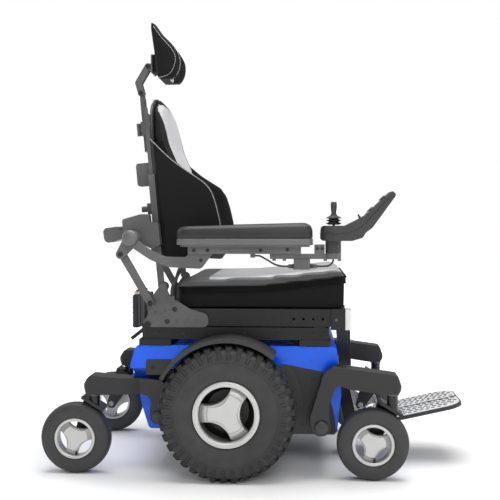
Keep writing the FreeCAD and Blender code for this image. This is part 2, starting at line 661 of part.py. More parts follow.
def arm_strut():
    """Strut that keeps the armrest level; its upper pin hole is loose."""
    plate = link(STRUT_FOOT, 10, STRUT_HEAD, 10, 246, 256)
    plate = plate.cut(rod("y", STRUT_FOOT, LINK_PIN_R + RUNNING, 240, 260))
    return plate.cut(rod("y", STRUT_HEAD, LINK_PIN_R + 1, 240, 260))


def armrest_bar():
    """Hub on the arm pivot, the curved arm that dips forward from it, and the pad's rail."""
    curve = [(-256, 614, 8), (-240, 599, 30), (-199, 572, 60), (-152, 553, 50), (-67, 549, 10),
             (-36, 590, 8), (-36, 600, 0), (-96, 600, 0), (-103, 579, 12), (-160, 580, 40),
             (-199, 597, 60), (-236, 626, 30), (-244, 640, 6)]
    arm = prism(curve, "y", *ARM_BAR_Y)
    hub = rod("y", ARM_PIVOT, 19, 278, 304)
    rail = block(-100, 190, ARM_RAIL_Y[0], ARM_RAIL_Y[1], ARM_RAIL_Z[0], ARM_RAIL_Z[1])
    cable_clip = block(CABLE_CLIP_X - 12, CABLE_CLIP_X, 286, 298, 578, ARM_RAIL_Z[0])
    bar_whole = fuse(arm, hub, rail, cable_clip)
    return bar_whole.cut(rod("y", ARM_PIVOT, ARM_HUB_PIN_R + RUNNING, 270, 320))


def armrest_pad():
    side = [(-129, 606, 0), (-129, 656, 24), (-20, 664, 200), (206, 668, 22), (222, 636, 20), (222, 606, 0)]
    plan = [(-128, PAD_Y[0], 26), (-128, PAD_Y[1], 26), (220, PAD_Y[1], 26), (220, PAD_Y[0], 26)]
    return prism(side, "y", *PAD_Y).common(prism(plan, "z", 600, 680))


save_sides("arm_crank", arm_crank())
save_sides("arm_strut", arm_strut())
save_sides("armrest_bar", armrest_bar())
save_sides("armrest_pad", armrest_pad())


# ---- Joystick, on the right armrest ----

POD_HALF = 44.0
DISPLAY_LOW = (352.0, 686.0)     # x, z of the raised panel's upper face, bottom and top
DISPLAY_HIGH = (417.0, 748.0)
BUTTON_R = 5.0
BUTTON_SHARES = (0.22, 0.68)     # how far up the raised panel each button sits
GIMBAL_Z = 655.0
STICK_TILT_R = 24.5       # recess that clears the tilting boot


def panel_point(low, high, share, height):
    """Point on the joystick's middle plane, height off the face that runs from low to high."""
    run = V(high[0] - low[0], 0, high[1] - low[1])
    spot = V(low[0], JOYSTICK_Y, low[1]) + run * share
    run.normalize()
    return spot + V(-run.z, 0, run.x) * height


def joystick_mount():
    y = JOYSTICK_Y
    beam = block(110, SWING_X, y - 8, y + 8, 575, 588)
    seat = rod("z", (SWING_X, y), 20, 575, 590)
    pin = rod("z", (SWING_X, y), 6, 590, 616)
    clamp = block(224, 250, y - 10, y + 10, 588, 612)
    hub = prism([(171, y - 11, 3), (171, y + 11, 3), (213, y + 11, 3), (213, y - 11, 3)], "z", 548, 575)
    reliefs = [rod("x", (y, 556), 5, 157, 171), rod("x", (y, 556), 5, 213, 231)]
    bolts = [rod("z", (x, y), 4.5, 570, 575) for x in (121, 147, 252, 288)]
    socket = rod("z", (SWING_X, y), CABLE_R + 0.3, 570, CABLE_SOCKET_Z)
    return fuse(beam, seat, pin, clamp, hub, *reliefs, *bolts).cut(socket)


def joystick_pod():
    """Swing block, stick housing with its recess, and the raised panel with button holes."""
    side = [(238, 622, 8), (318, 622, 20), (344, 630, 8), (352, 643, 8), (368, 655, 14), (428, 738, 6),
            (DISPLAY_HIGH[0], DISPLAY_HIGH[1], 5), (DISPLAY_LOW[0], DISPLAY_LOW[1], 10),
            (330, 674, 8), (302, 660, 10), (240, 660, 10)]
    plan = [(238, JOYSTICK_Y - POD_HALF, 43), (238, JOYSTICK_Y + POD_HALF, 43),
            (432, JOYSTICK_Y + POD_HALF, 16), (432, JOYSTICK_Y - POD_HALF, 16)]
    case = prism(side, "y", JOYSTICK_Y - 50, JOYSTICK_Y + 50).common(prism(plan, "z", 600, 760))
    swing = rod("z", (SWING_X, JOYSTICK_Y), 20, 590.5, 622)
    pod = fuse(case, swing)
    holes = [rod("z", (SWING_X, JOYSTICK_Y), 6 + RUNNING, 585, 617),
             rod("z", (STICK_X, JOYSTICK_Y), STICK_TILT_R, 644, 670),
             rod("x", (JOYSTICK_Y, GIMBAL_Z), 2 + RUNNING, STICK_X - 28, STICK_X + 28)]
    for share in BUTTON_SHARES:
        holes.append(bar(panel_point(DISPLAY_LOW, DISPLAY_HIGH, share, -5),
                         panel_point(DISPLAY_LOW, DISPLAY_HIGH, share, 2), BUTTON_R + 0.2))
    return pod.cut(holes)


def pod_button(share):
    return bar(panel_point(DISPLAY_LOW, DISPLAY_HIGH, share, -2.5),
               panel_point(DISPLAY_LOW, DISPLAY_HIGH, share, 4), BUTTON_R)


def pod_toggle():
    low, high = (330.0, 674.0), DISPLAY_LOW
    middle = panel_point(low, high, 0.45, 3.6)
    pin = rod("y", (middle.x, middle.z), 2.4, JOYSTICK_Y - 5, JOYSTICK_Y + 5)
    return fuse(Part.makeSphere(3.2, middle), pin, bar(middle, panel_point(low, high, 0.45, 11), 2.2))


def joystick_gimbal():
    """Ring that tips sideways on pins in the pod and carries the stick's cross pin."""
    centre = (STICK_X, JOYSTICK_Y)
    ring = tube("z", centre, 12, 9, GIMBAL_Z - 3.5, GIMBAL_Z + 3.5)
    pins = [rod("x", (JOYSTICK_Y, GIMBAL_Z), 2, STICK_X - 27, STICK_X - 10),
            rod("x", (JOYSTICK_Y, GIMBAL_Z), 2, STICK_X + 10, STICK_X + 27)]
    bore = rod("y", (STICK_X, GIMBAL_Z), 2 + RUNNING, JOYSTICK_Y - 15, JOYSTICK_Y + 15)
    return fuse(ring, *pins).cut(bore)


def joystick_stick():
    centre = (STICK_X, JOYSTICK_Y)
    shaft = rod("z", centre, 3, GIMBAL_Z, 694)
    cross_pin = rod("y", (STICK_X, GIMBAL_Z), 2, JOYSTICK_Y - 12, JOYSTICK_Y + 12)
    knob = Part.makeCone(5.5, 8, 22, V(STICK_X, JOYSTICK_Y, 692))
    crown = Part.makeSphere(8.4, V(STICK_X, JOYSTICK_Y, 713))
    return fuse(shaft, cross_pin, knob, crown)


def joystick_boot():
    """Bellows of three folds that tilts with the stick."""
    centre = (STICK_X, JOYSTICK_Y)
    folds = [rod("z", centre, r, z, z + 5) for r, z in ((20, 664), (17, 671), (14, 678))]
    core = rod("z", centre, 12, 664, 686)
    return fuse(core, *folds).cut(rod("z", centre, 3 + RUNNING, 660, 690))


save("joystick_mount", joystick_mount())
save("joystick_pod", joystick_pod())
save("joystick_gimbal", joystick_gimbal())
save("joystick_stick", joystick_stick())
save("joystick_boot", joystick_boot())
save("pod_toggle", pod_toggle())
save("pod_button_lower", pod_button(BUTTON_SHARES[0]))
save("pod_button_upper", pod_button(BUTTON_SHARES[1]))
save("joystick_cable", cord_tube("joystick cable, rear", CABLE_REAR_ROUTE, CABLE_R),
     cord_tube("joystick cable, front", CABLE_FRONT_ROUTE, CABLE_R))
save("cable_loom", cord_tube("cable loom", LOOM_ROUTE, LOOM_R))


# ---- Legrest and footplates ----

def sloped(shape):
    """Footplate parts are drawn level from the reference point, then turned toe up."""
    solid = shape.copy()
    solid.translate(V(FOOT_REF_X, 0, FOOT_Z))
    solid.rotate(V(FOOT_REF_X, 0, FOOT_Z), V(0, 1, 0), -FOOT_SLOPE)
    return solid


def legrest_hanger():
    """Central column, leaning away from the folded plates, and the spine they hinge on."""
    column = prism([(290, 388, 10), (294, 406, 12), (328, 406, 12), (332, 262, 60), (325, 212, 40),
                    (348, 110, 10), (350, 76, 8), (316, 76, 8), (302, 150, 100), (299, 262, 200)],
                   "y", -50, 50)
    pins = rod("y", LEG_PIVOT, 8, -84, 84)
    spine = block(FOOT_HEEL - 14, 70, -14, 14, -FOOT_THICK - 14, -FOOT_THICK - 3)
    ear = block(FOOT_HEEL - 12, FOOT_HEEL - 2, -16, 16, -FOOT_THICK - 8, 0)
    hinge_pins = pair(rod("x", (HINGE_Y, -FOOT_THICK / 2), 2.5, FOOT_HEEL - 4, FOOT_HEEL + 22))
    return fuse(column, pins, sloped(fuse(spine, ear, *hinge_pins)))


def footplate():
    plan = [(FOOT_HEEL, 3, 3), (FOOT_HEEL, FOOT_HALF, 16), (FOOT_TOE, FOOT_HALF, 44), (FOOT_TOE, 3, 8)]
    plate = prism(plan, "z", -FOOT_THICK, 0)
    bore = rod("x", (HINGE_Y, -FOOT_THICK / 2), 2.5 + RUNNING, FOOT_HEEL - 5, FOOT_HEEL + 23)
    return sloped(plate.cut(bore))


save("legrest_hanger", legrest_hanger())
save_sides("footplate", footplate())
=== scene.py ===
import bmesh
import bpy
from math import atan2, cos, pi, radians, sin, sqrt
from mathutils import Matrix, Vector


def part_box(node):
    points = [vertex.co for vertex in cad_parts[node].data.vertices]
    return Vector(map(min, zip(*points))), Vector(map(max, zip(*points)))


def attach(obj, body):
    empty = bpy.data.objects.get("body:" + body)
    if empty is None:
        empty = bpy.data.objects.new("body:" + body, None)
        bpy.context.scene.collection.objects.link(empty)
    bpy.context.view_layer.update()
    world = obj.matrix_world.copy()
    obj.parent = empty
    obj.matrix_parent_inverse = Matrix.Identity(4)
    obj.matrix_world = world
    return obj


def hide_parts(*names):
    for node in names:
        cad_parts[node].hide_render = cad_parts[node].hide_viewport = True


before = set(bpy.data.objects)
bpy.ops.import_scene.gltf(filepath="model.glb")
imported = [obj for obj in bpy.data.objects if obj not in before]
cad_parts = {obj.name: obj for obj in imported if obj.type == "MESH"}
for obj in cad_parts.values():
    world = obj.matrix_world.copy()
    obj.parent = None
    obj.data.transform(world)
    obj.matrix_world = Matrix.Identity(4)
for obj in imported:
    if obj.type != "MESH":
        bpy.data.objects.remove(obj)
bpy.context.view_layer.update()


# ---- Studio ----
# A pale floor under a white sky panel, one large soft lamp overhead and two at the front and
# side, with the camera level with the armrest and square to the chair's right side.

camera = bpy.data.objects.new("camera", bpy.data.cameras.new("camera"))
camera.data.lens = 63.16
camera.data.sensor_width = 36.0
camera.location = (0.1234, -2.540, 0.6725)
camera.rotation_euler = (radians(90.0 - 1.905), 0.0, radians(3.372))
bpy.context.scene.collection.objects.link(camera)
bpy.context.scene.camera = camera


def lamp(name, place, aim, size, power):
    """A square soft lamp of that size in metres, turned towards a point."""
    light = bpy.data.lights.new(name, "AREA")
    light.shape = "RECTANGLE"
    light.size, light.size_y = size
    light.energy = power
    holder = bpy.data.objects.new(name, light)
    holder.location = place
    holder.rotation_euler = (Vector(aim) - Vector(place)).to_track_quat("-Z", "Y").to_euler()
    bpy.context.scene.collection.objects.link(holder)


lamp("overhead", (0.1, 0.0, 2.9), (0.05, 0.0, 0.3), (2.8, 2.4), 105)
lamp("near_side", (0.7, -3.2, 2.1), (0.0, 0.0, 0.5), (1.8, 1.2), 30)
lamp("behind", (-2.4, 0.9, 1.5), (0.0, 0.0, 0.6), (1.0, 1.6), 16)
lamp("front", (2.6, -0.5, 1.4), (0.0, 0.0, 0.5), (1.0, 1.4), 16)

sky = bpy.data.worlds.new("sky")
sky.use_nodes = True
backdrop = sky.node_tree.nodes["Background"]
backdrop.inputs["Color"].default_value = (1.0, 1.0, 1.0, 1.0)
rays = sky.node_tree.nodes.new("ShaderNodeLightPath")
brightness = sky.node_tree.nodes.new("ShaderNodeMapRange")
brightness.inputs["To Min"].default_value = 0.32
brightness.inputs["To Max"].default_value = 1.0
sky.node_tree.links.new(rays.outputs["Is Camera Ray"], brightness.inputs["Value"])
sky.node_tree.links.new(brightness.outputs["Result"], backdrop.inputs["Strength"])
bpy.context.scene.world = sky
bpy.context.scene.view_settings.view_transform = "Standard"

floor_shape = bmesh.new()
bmesh.ops.create_grid(floor_shape, x_segments=2, y_segments=2, size=9.0)
floor_mesh = bpy.data.meshes.new("floor")
floor_shape.to_mesh(floor_mesh)
floor_shape.free()
floor = bpy.data.objects.new("floor", floor_mesh)
bpy.context.scene.collection.objects.link(floor)
floor_finish = bpy.data.materials.new("floor_paper")
floor_finish.use_nodes = True
paper = floor_finish.node_tree
paper.nodes["Principled BSDF"].inputs["Base Color"].default_value = (0.90, 0.90, 0.90, 1.0)
paper.nodes["Principled BSDF"].inputs["Roughness"].default_value = 0.7
floor_place = paper.nodes.new("ShaderNodeTexCoord")
floor_distance = paper.nodes.new("ShaderNodeVectorMath")
floor_distance.operation = "LENGTH"
floor_glow = paper.nodes.new("ShaderNodeMapRange")
floor_glow.interpolation_type = "SMOOTHSTEP"
floor_glow.inputs["From Min"].default_value = 0.7
floor_glow.inputs["From Max"].default_value = 3.0
paper.links.new(floor_place.outputs["Object"], floor_distance.inputs[0])
paper.links.new(floor_distance.outputs["Value"], floor_glow.inputs["Value"])
paper.links.new(floor_glow.outputs["Result"], paper.nodes["Principled BSDF"].inputs["Emission Strength"])
paper.nodes["Principled BSDF"].inputs["Emission Color"].default_value = (1.0, 1.0, 1.0, 1.0)
floor_mesh.materials.append(floor_finish)


# ---- Chassis, batteries and tilt base ----
# The welded steel frame and the tilt base on top of it. Both are powder coated black, with a
# fine orange-peel skin and paler edges, partly where the coat has thinned and partly a painted highlight.

AXLE_X = (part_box("drive_tyre_left")[0][0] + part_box("drive_tyre_left")[1][0]) / 2


def at(x, y, z):
    """A point given in millimetres from the floor under the drive axle's middle."""
    return Vector((AXLE_X + x / 1000, y / 1000, z / 1000))


def add(tree, kind, feeds=None, **settings):
    """A shader node with its settings, and its inputs fed by sockets or given values."""
    made = tree.nodes.new(kind)
    for key, value in settings.items():
        setattr(made, key, value)
    for key, value in (feeds or {}).items():
        if isinstance(value, bpy.types.NodeSocket):
            tree.links.new(value, made.inputs[key])
        else:
            made.inputs[key].default_value = value
    return made


def effect(name, takes, gives=("Colour", "Roughness", "Normal")):
    """An empty shader group with its named sockets, and its input and output nodes."""
    tree = bpy.data.node_groups.new(name, "ShaderNodeTree")
    for label, start in takes.items():
        kind = "NodeSocketColor" if isinstance(start, tuple) else "NodeSocketFloat"
        tree.interface.new_socket(name=label, in_out="INPUT", socket_type=kind).default_value = start
    kinds = {"Colour": "NodeSocketColor", "Normal": "NodeSocketVector"}
    for label in gives:
        tree.interface.new_socket(name=label, in_out="OUTPUT", socket_type=kinds.get(label, "NodeSocketFloat"))
    return tree, tree.nodes.new("NodeGroupInput"), tree.nodes.new("NodeGroupOutput")


def coat_effect():
    """Coated or moulded surface: rounded edges painted paler, partly as wear and partly as a painted highlight, a
    cloudy tint, and a fine skin.
    """
    tree, start, end = effect("coated_surface", {
        "Colour": (0.02, 0.02, 0.02, 1.0), "Tint": (0.03, 0.03, 0.03, 1.0), "Worn": (0.1, 0.1, 0.1, 1.0),
        "Roughness": 0.4, "Spread": 0.15, "Grain Size": 900.0, "Grain Depth": 0.1, "Edge Wear": 0.4,
        "Edge Radius": 0.001})
    place = add(tree, "ShaderNodeTexCoord").outputs["Object"]
    cloud = add(tree, "ShaderNodeTexNoise", {"Vector": place, "Scale": 9.0, "Detail": 5.0})
    skin = add(tree, "ShaderNodeTexNoise", {"Vector": place, "Scale": start.outputs["Grain Size"], "Detail": 2.0})
    rounded = add(tree, "ShaderNodeBevel", {"Radius": start.outputs["Edge Radius"]}, samples=4)
    plain = add(tree, "ShaderNodeNewGeometry")
    facing = add(tree, "ShaderNodeVectorMath", {0: rounded.outputs[0], 1: plain.outputs["Normal"]},
                 operation="DOT_PRODUCT")
    # Edge mask from the rounded normal: the paler edge colour is partly the coat worn thin, partly a painted
    # highlight.
    edge = add(tree, "ShaderNodeMapRange", {"Value": facing.outputs["Value"], "From Min": 0.985,
                                            "From Max": 0.80, "To Min": 0.0, "To Max": 1.0})
    patchy = add(tree, "ShaderNodeMapRange", {"Value": cloud.outputs["Fac"], "From Min": 0.35, "From Max": 0.7})
    worn = add(tree, "ShaderNodeMath", {0: edge.outputs[0], 1: start.outputs["Edge Wear"]}, operation="MULTIPLY")
    wear_and_sheen_patches = add(tree, "ShaderNodeMath", {0: worn.outputs[0], 1: patchy.outputs[0]}, operation="MULTIPLY")
    base = add(tree, "ShaderNodeMix", {"Factor": patchy.outputs[0], 6: start.outputs["Colour"],
                                       7: start.outputs["Tint"]}, data_type="RGBA")
    colour = add(tree, "ShaderNodeMix", {"Factor": wear_and_sheen_patches.outputs[0], 6: base.outputs[2],
                                         7: start.outputs["Worn"]}, data_type="RGBA")
    swing = add(tree, "ShaderNodeMath", {0: patchy.outputs[0], 1: start.outputs["Spread"],
                                         2: start.outputs["Roughness"]}, operation="MULTIPLY_ADD")
    bump = add(tree, "ShaderNodeBump", {"Strength": start.outputs["Grain Depth"], "Distance": 0.0006,
                                        "Height": skin.outputs["Fac"], "Normal": rounded.outputs[0]})
    tree.links.new(colour.outputs[2], end.inputs["Colour"])
    tree.links.new(swing.outputs[0], end.inputs["Roughness"])
    tree.links.new(bump.outputs[0], end.inputs["Normal"])
    return tree


coated_surface = coat_effect()


def rgba(colour):
    return (*colour, 1.0)


def finish(name, group, metallic=0.0, coat=0.0, sheen=0.0, specular=0.5, **values):
    """A material whose colour, roughness and normal come from one effect with its own values."""
    made = bpy.data.materials.new(name)
    made.use_nodes = True
    tree = made.node_tree
    shader = tree.nodes["Principled BSDF"]
    surface = add(tree, "ShaderNodeGroup", node_tree=group)
    for key, value in values.items():
        label = key.replace("_", " ").title()
        surface.inputs[label].default_value = rgba(value) if isinstance(value, tuple) else value
    tree.links.new(surface.outputs["Colour"], shader.inputs["Base Color"])
    tree.links.new(surface.outputs["Roughness"], shader.inputs["Roughness"])
    tree.links.new(surface.outputs["Normal"], shader.inputs["Normal"])
    shader.inputs["Metallic"].default_value = metallic
    shader.inputs["Coat Weight"].default_value = coat
    shader.inputs["Coat Roughness"].default_value = 0.12
    shader.inputs["Sheen Weight"].default_value = sheen
    shader.inputs["Specular IOR Level"].default_value = specular
    return made


def paint(material, *nodes):
    """Gives a material to CAD nodes whose shape is already right."""
    for node in nodes:
        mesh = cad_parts[node].data
        mesh.materials.clear()
        mesh.materials.append(material)


powder_coat = finish("powder_coat", coated_surface, specular=0.35, colour=(0.008, 0.008, 0.0085),
                     tint=(0.014, 0.014, 0.0145), worn=(0.09, 0.09, 0.09), roughness=0.38, grain_size=1400.0,
                      grain_depth=0.12, edge_wear=0.7)
satin_casting = finish("satin_casting", coated_surface, coat=0.1, specular=0.4, colour=(0.008, 0.008, 0.0085),
                       tint=(0.015, 0.015, 0.0155), worn=(0.12, 0.12, 0.12), roughness=0.28, grain_size=800.0,
                       grain_depth=0.10, edge_wear=0.6, edge_radius=0.003)
battery_case = finish("battery_case", coated_surface, colour=(0.03, 0.03, 0.032), tint=(0.04, 0.04, 0.04),
                      worn=(0.08, 0.08, 0.08), roughness=0.6, grain_size=500.0, grain_depth=0.3)
paint(powder_coat, "chassis_frame", "seat_base")
paint(battery_case, "batteries")


# ---- Body shroud, side panels and wheel guards ----
# Two-part moulded shell over the batteries, gloss blue with a clear top coat, with textured
# dark trims on its flanks and a dark guard arched over each drive tyre, all on push rivets.

# The shell's paler cyan edge colour is a painted highlight along its rounded edges, not wear.
shroud_blue = finish("shroud_blue", coated_surface, coat=0.12, specular=0.3, colour=(0.0, 0.11, 0.92),
                     tint=(0.0, 0.14, 1.0), worn=(0.02, 0.30, 1.0), roughness=0.24, spread=0.06,
                     grain_size=260.0, grain_depth=0.03, edge_wear=0.5, edge_radius=0.005)
textured_black = finish("textured_black", coated_surface, colour=(0.022, 0.022, 0.024),
                        tint=(0.034, 0.034, 0.036), worn=(0.10, 0.10, 0.10), roughness=0.5,
                        grain_size=1100.0, grain_depth=0.35, edge_wear=0.5, edge_radius=0.0015)
motor_coat = finish("motor_coat", coated_surface, metallic=0.3, colour=(0.03, 0.03, 0.03),
                    tint=(0.05, 0.05, 0.05), worn=(0.2, 0.2, 0.2), roughness=0.45, grain_size=500.0,
                    grain_depth=0.3, edge_wear=0.8)
paint(shroud_blue, "body_shroud")
paint(textured_black, "side_panels")
paint(motor_coat, "drive_motors")


def piece(name, shape, material, body, stands_for=(), crease=35.0):
    """A bmesh made into one of the chair's pieces, smooth up to its creases, riding on a body."""
    mesh = bpy.data.meshes.new(name)
    shape.to_mesh(mesh)
    shape.free()
    mesh.materials.append(material)
    mesh.shade_smooth()
    mesh.set_sharp_from_angle(angle=radians(crease))
    made = bpy.data.objects.new(name, mesh)
    bpy.context.scene.collection.objects.link(made)
    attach(made, body)
    if stands_for:
        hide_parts(*stands_for)
    return made


def mirror_over(shape):
    """Turns a left-hand shape into the right-hand one."""
    bmesh.ops.scale(shape, vec=(1.0, -1.0, 1.0), verts=shape.verts)
    bmesh.ops.reverse_faces(shape, faces=shape.faces)


def join_in(shape, other):
    """Adds another bmesh's geometry to a shape."""
    spare = bpy.data.meshes.new("spare")
    other.to_mesh(spare)
    other.free()
    shape.from_mesh(spare)
    bpy.data.meshes.remove(spare)


def upright(axis):
    """Matrix that turns +Z to an axis."""
    return Vector((0, 0, 1)).rotation_difference(Vector(axis)).to_matrix().to_4x4()


def bolt_head(place, axis, radius, height, sides=6, socket=True):
    """Screw or bolt head with a chamfered edge and a hex socket, its base at a point."""
    shape = bmesh.new()
    bmesh.ops.create_cone(shape, cap_ends=True, segments=24 if sides == 0 else sides, radius1=radius / 1000,
                          radius2=radius / 1000, depth=height / 1000)
    bmesh.ops.translate(shape, vec=(0, 0, height / 2000), verts=shape.verts)
    top = [f for f in shape.faces if f.calc_center_median().z > height / 1000 * 0.9]
    bmesh.ops.inset_region(shape, faces=top, thickness=radius * 0.12 / 1000, depth=radius * 0.10 / 1000)
    if socket:
        bmesh.ops.inset_region(shape, faces=top, thickness=radius * 0.35 / 1000, depth=0.0)
        bmesh.ops.inset_region(shape, faces=top, thickness=radius * 0.02 / 1000, depth=-height * 0.5 / 1000)
    bmesh.ops.transform(shape, matrix=Matrix.Translation(place) @ upright(axis), verts=shape.verts)
    return shape


zinc_bolt = finish("zinc_bolt", coated_surface, metallic=1.0, colour=(0.45, 0.45, 0.44), tint=(0.3, 0.3, 0.3),
                   worn=(0.6, 0.6, 0.6), roughness=0.32, grain_size=900.0, grain_depth=0.2, edge_radius=0.0004)
black_screw = finish("black_screw", coated_surface, metallic=0.4, colour=(0.015, 0.015, 0.015),
                     tint=(0.03, 0.03, 0.03), worn=(0.25, 0.25, 0.25), roughness=0.35, edge_wear=0.9,
                     grain_size=900.0, grain_depth=0.2, edge_radius=0.0004)


def fasteners(name, spots, material, body, radius, height, sides=6, both_sides=True):
    """A set of like screws on one body, at points with an outward axis each."""
    whole = bmesh.new()
    for place, axis in spots:
        join_in(whole, bolt_head(at(*place), axis, radius, height, sides))
        if both_sides:
            other = (place[0], -place[1], place[2])
            join_in(whole, bolt_head(at(*other), (axis[0], -axis[1], axis[2]), radius, height, sides))
    return piece(name, whole, material, body, crease=25.0)


fasteners("panel_rivets", [((-205, 230.8, 282), (0, 1, 0)), ((-160, 230.8, 282), (0, 1, 0)),
                           ((222, 230.8, 256), (0, 1, 0)), ((215, 230.8, 150), (0, 1, 0))],
          black_screw, "base", 5.0, 1.6, sides=0)


def flank(corners, y_low, y_high):
    """Thin cover on the shell's side, cut to an outline of (x, z) points in millimetres."""
    shape = bmesh.new()
    face = shape.faces.new([shape.verts.new(at(x, y_low, z)) for x, z in corners])
    grown = bmesh.ops.extrude_face_region(shape, geom=[face])["geom"]
    raised = [v for v in grown if isinstance(v, bmesh.types.BMVert)]
    bmesh.ops.translate(shape, vec=(0, (y_high - y_low) / 1000, 0), verts=raised)
    edges = [e for e in shape.edges if all(v in raised for v in e.verts)]
    bmesh.ops.bevel(shape, geom=edges, offset=0.0012, affect="EDGES", segments=2, profile=0.5, material=-1)
    bmesh.ops.recalc_face_normals(shape, faces=shape.faces)
    return shape


FRONT_FLANK = [(60, 276), (150, 293), (246, 274), (240, 236), (268, 200), (280, 150), (282, 112),
               (279, 107.5), (60, 107.5)]
TUB_FLANK = [(-218, 274), (-141, 274), (-141, 110), (-178, 110), (-198, 165), (-222, 235)]
for name, sign in (("left", 1), ("right", -1)):
    for end, corners, face_y in (("front", FRONT_FLANK, 228.1), ("rear", TUB_FLANK, 188.1)):
        cover = flank(corners, face_y, face_y + 2.2)
        if sign < 0:
            mirror_over(cover)
        piece("flank_%s_%s" % (end, name), cover, textured_black, "base")


# ---- Drive wheels ----
# A 14 inch tyre with block tread on a two-piece cast rim: a turned outer ring and, set back in
# it, a three-spoke spider with a raised flat boss. The tyre's shoulder lugs wrap onto the wall.

def rubber_effect():
    """Moulded rubber: cloudy dusty tint with a fine pitted skin."""
    tree, start, end = effect("moulded_rubber", {
        "Colour": (0.03, 0.03, 0.03, 1.0), "Dust": (0.09, 0.09, 0.09, 1.0), "Roughness": 0.7,
        "Dustiness": 0.5, "Grain Depth": 0.3})
    place = add(tree, "ShaderNodeTexCoord").outputs["Object"]
    cloud = add(tree, "ShaderNodeTexNoise", {"Vector": place, "Scale": 26.0, "Detail": 6.0, "Roughness": 0.6})
    skin = add(tree, "ShaderNodeTexNoise", {"Vector": place, "Scale": 700.0, "Detail": 3.0})
    shaped = add(tree, "ShaderNodeMapRange", {"Value": cloud.outputs["Fac"], "From Min": 0.3, "From Max": 0.75})
    amount = add(tree, "ShaderNodeMath", {0: shaped.outputs[0], 1: start.outputs["Dustiness"]}, operation="MULTIPLY")
    colour = add(tree, "ShaderNodeMix", {"Factor": amount.outputs[0], 6: start.outputs["Colour"],
                                         7: start.outputs["Dust"]}, data_type="RGBA")
    rough = add(tree, "ShaderNodeMath", {0: amount.outputs[0], 1: 0.2, 2: start.outputs["Roughness"]},
                operation="MULTIPLY_ADD")
    bump = add(tree, "ShaderNodeBump", {"Strength": start.outputs["Grain Depth"], "Distance": 0.0008,
                                        "Height": skin.outputs["Fac"]})
    tree.links.new(colour.outputs[2], end.inputs["Colour"])
    tree.links.new(rough.outputs[0], end.inputs["Roughness"])
    tree.links.new(bump.outputs[0], end.inputs["Normal"])
    return tree


def alloy_effect():
    """Cast or turned alloy: faint cloudy tint and a satin grain, paler along rounded edges."""
    tree, start, end = effect("satin_alloy", {
        "Colour": (0.6, 0.6, 0.6, 1.0), "Tint": (0.5, 0.5, 0.5, 1.0), "Roughness": 0.35, "Grain Size": 300.0,
        "Grain Depth": 0.15, "Edge Radius": 0.001})
    place = add(tree, "ShaderNodeTexCoord").outputs["Object"]
    cloud = add(tree, "ShaderNodeTexNoise", {"Vector": place, "Scale": 30.0, "Detail": 4.0})
    skin = add(tree, "ShaderNodeTexNoise", {"Vector": place, "Scale": start.outputs["Grain Size"], "Detail": 4.0})
    rounded = add(tree, "ShaderNodeBevel", {"Radius": start.outputs["Edge Radius"]}, samples=4)
    colour = add(tree, "ShaderNodeMix", {"Factor": cloud.outputs["Fac"], 6: start.outputs["Colour"],
                                         7: start.outputs["Tint"]}, data_type="RGBA")
    rough = add(tree, "ShaderNodeMath", {0: skin.outputs["Fac"], 1: 0.12, 2: start.outputs["Roughness"]},
                operation="MULTIPLY_ADD")
    bump = add(tree, "ShaderNodeBump", {"Strength": start.outputs["Grain Depth"], "Distance": 0.0004,
                                        "Height": skin.outputs["Fac"], "Normal": rounded.outputs[0]})
    tree.links.new(colour.outputs[2], end.inputs["Colour"])
    tree.links.new(rough.outputs[0], end.inputs["Roughness"])
    tree.links.new(bump.outputs[0], end.inputs["Normal"])
    return tree


moulded_rubber = rubber_effect()
satin_alloy = alloy_effect()
tyre_tread = finish("tyre_tread", moulded_rubber, colour=(0.007, 0.007, 0.007), dust=(0.032, 0.032, 0.032),
                    roughness=0.62, dustiness=0.5, grain_depth=0.35)
tyre_wall = finish("tyre_wall", moulded_rubber, colour=(0.025, 0.025, 0.025), dust=(0.06, 0.06, 0.06),
                   roughness=0.62, dustiness=0.7, grain_depth=0.3)
cast_rim = finish("cast_rim", satin_alloy, metallic=0.55, colour=(0.62, 0.62, 0.61), tint=(0.52, 0.52, 0.51),
                  roughness=0.36, grain_size=420.0, grain_depth=0.12)

WHEEL_Y, WHEEL_Z, TYRE_R = 290.0, 178.0, 178.0


def turned(profile, y_mid, x, z, steps=96, closed=True):
    """A shape turned about a wheel's axle from (offset, radius) points in millimetres."""
    shape = bmesh.new()
    points = [shape.verts.new(at(x, y_mid + offset, z + radius)) for offset, radius in profile]
    ends = zip(points, points[1:] + points[:1]) if closed else zip(points, points[1:])
    edges = [shape.edges.new(pair) for pair in ends]
    bmesh.ops.spin(shape, geom=points + edges, cent=at(x, 0, z), axis=(0, 1, 0), angle=2 * pi,
                   steps=steps, use_merge=True)
    bmesh.ops.remove_doubles(shape, verts=shape.verts, dist=1e-6)
    bmesh.ops.recalc_face_normals(shape, faces=shape.faces)
    return shape


def around(lug, x, z, count, first=0.0):
    """Repeats a lug count times about a wheel's axle."""
    bmesh.ops.rotate(lug, cent=at(x, 0, z), matrix=Matrix.Rotation(first, 3, "Y"), verts=lug.verts)
    bmesh.ops.spin(lug, geom=lug.verts[:] + lug.edges[:] + lug.faces[:], cent=at(x, 0, z), axis=(0, 1, 0),
                   angle=2 * pi * (count - 1) / count, steps=count - 1, use_duplicate=True)
    return lug


def tread_lug(y0, y1, length, low, high, drop0=0.0, drop1=0.0, skew=0.0, taper=0.86):
    """One rubber block at the top of the wheel; its two y ends can drop towards the axle."""
    lug = bmesh.new()
    bmesh.ops.create_cube(lug, size=1.0)
    for corner in lug.verts:
        outer = corner.co.y > 0
        top = corner.co.z > 0
        reach = (high if top else low) - (drop1 if outer else drop0)
        narrowing = taper if top else 1.0
        corner.co = at(corner.co.x * length * narrowing + (skew if outer else -skew), y1 if outer else y0,
                       WHEEL_Z + reach)
    bmesh.ops.bevel(lug, geom=lug.edges, offset=0.0012, affect="EDGES", segments=1, profile=0.5, material=-1)
    return lug


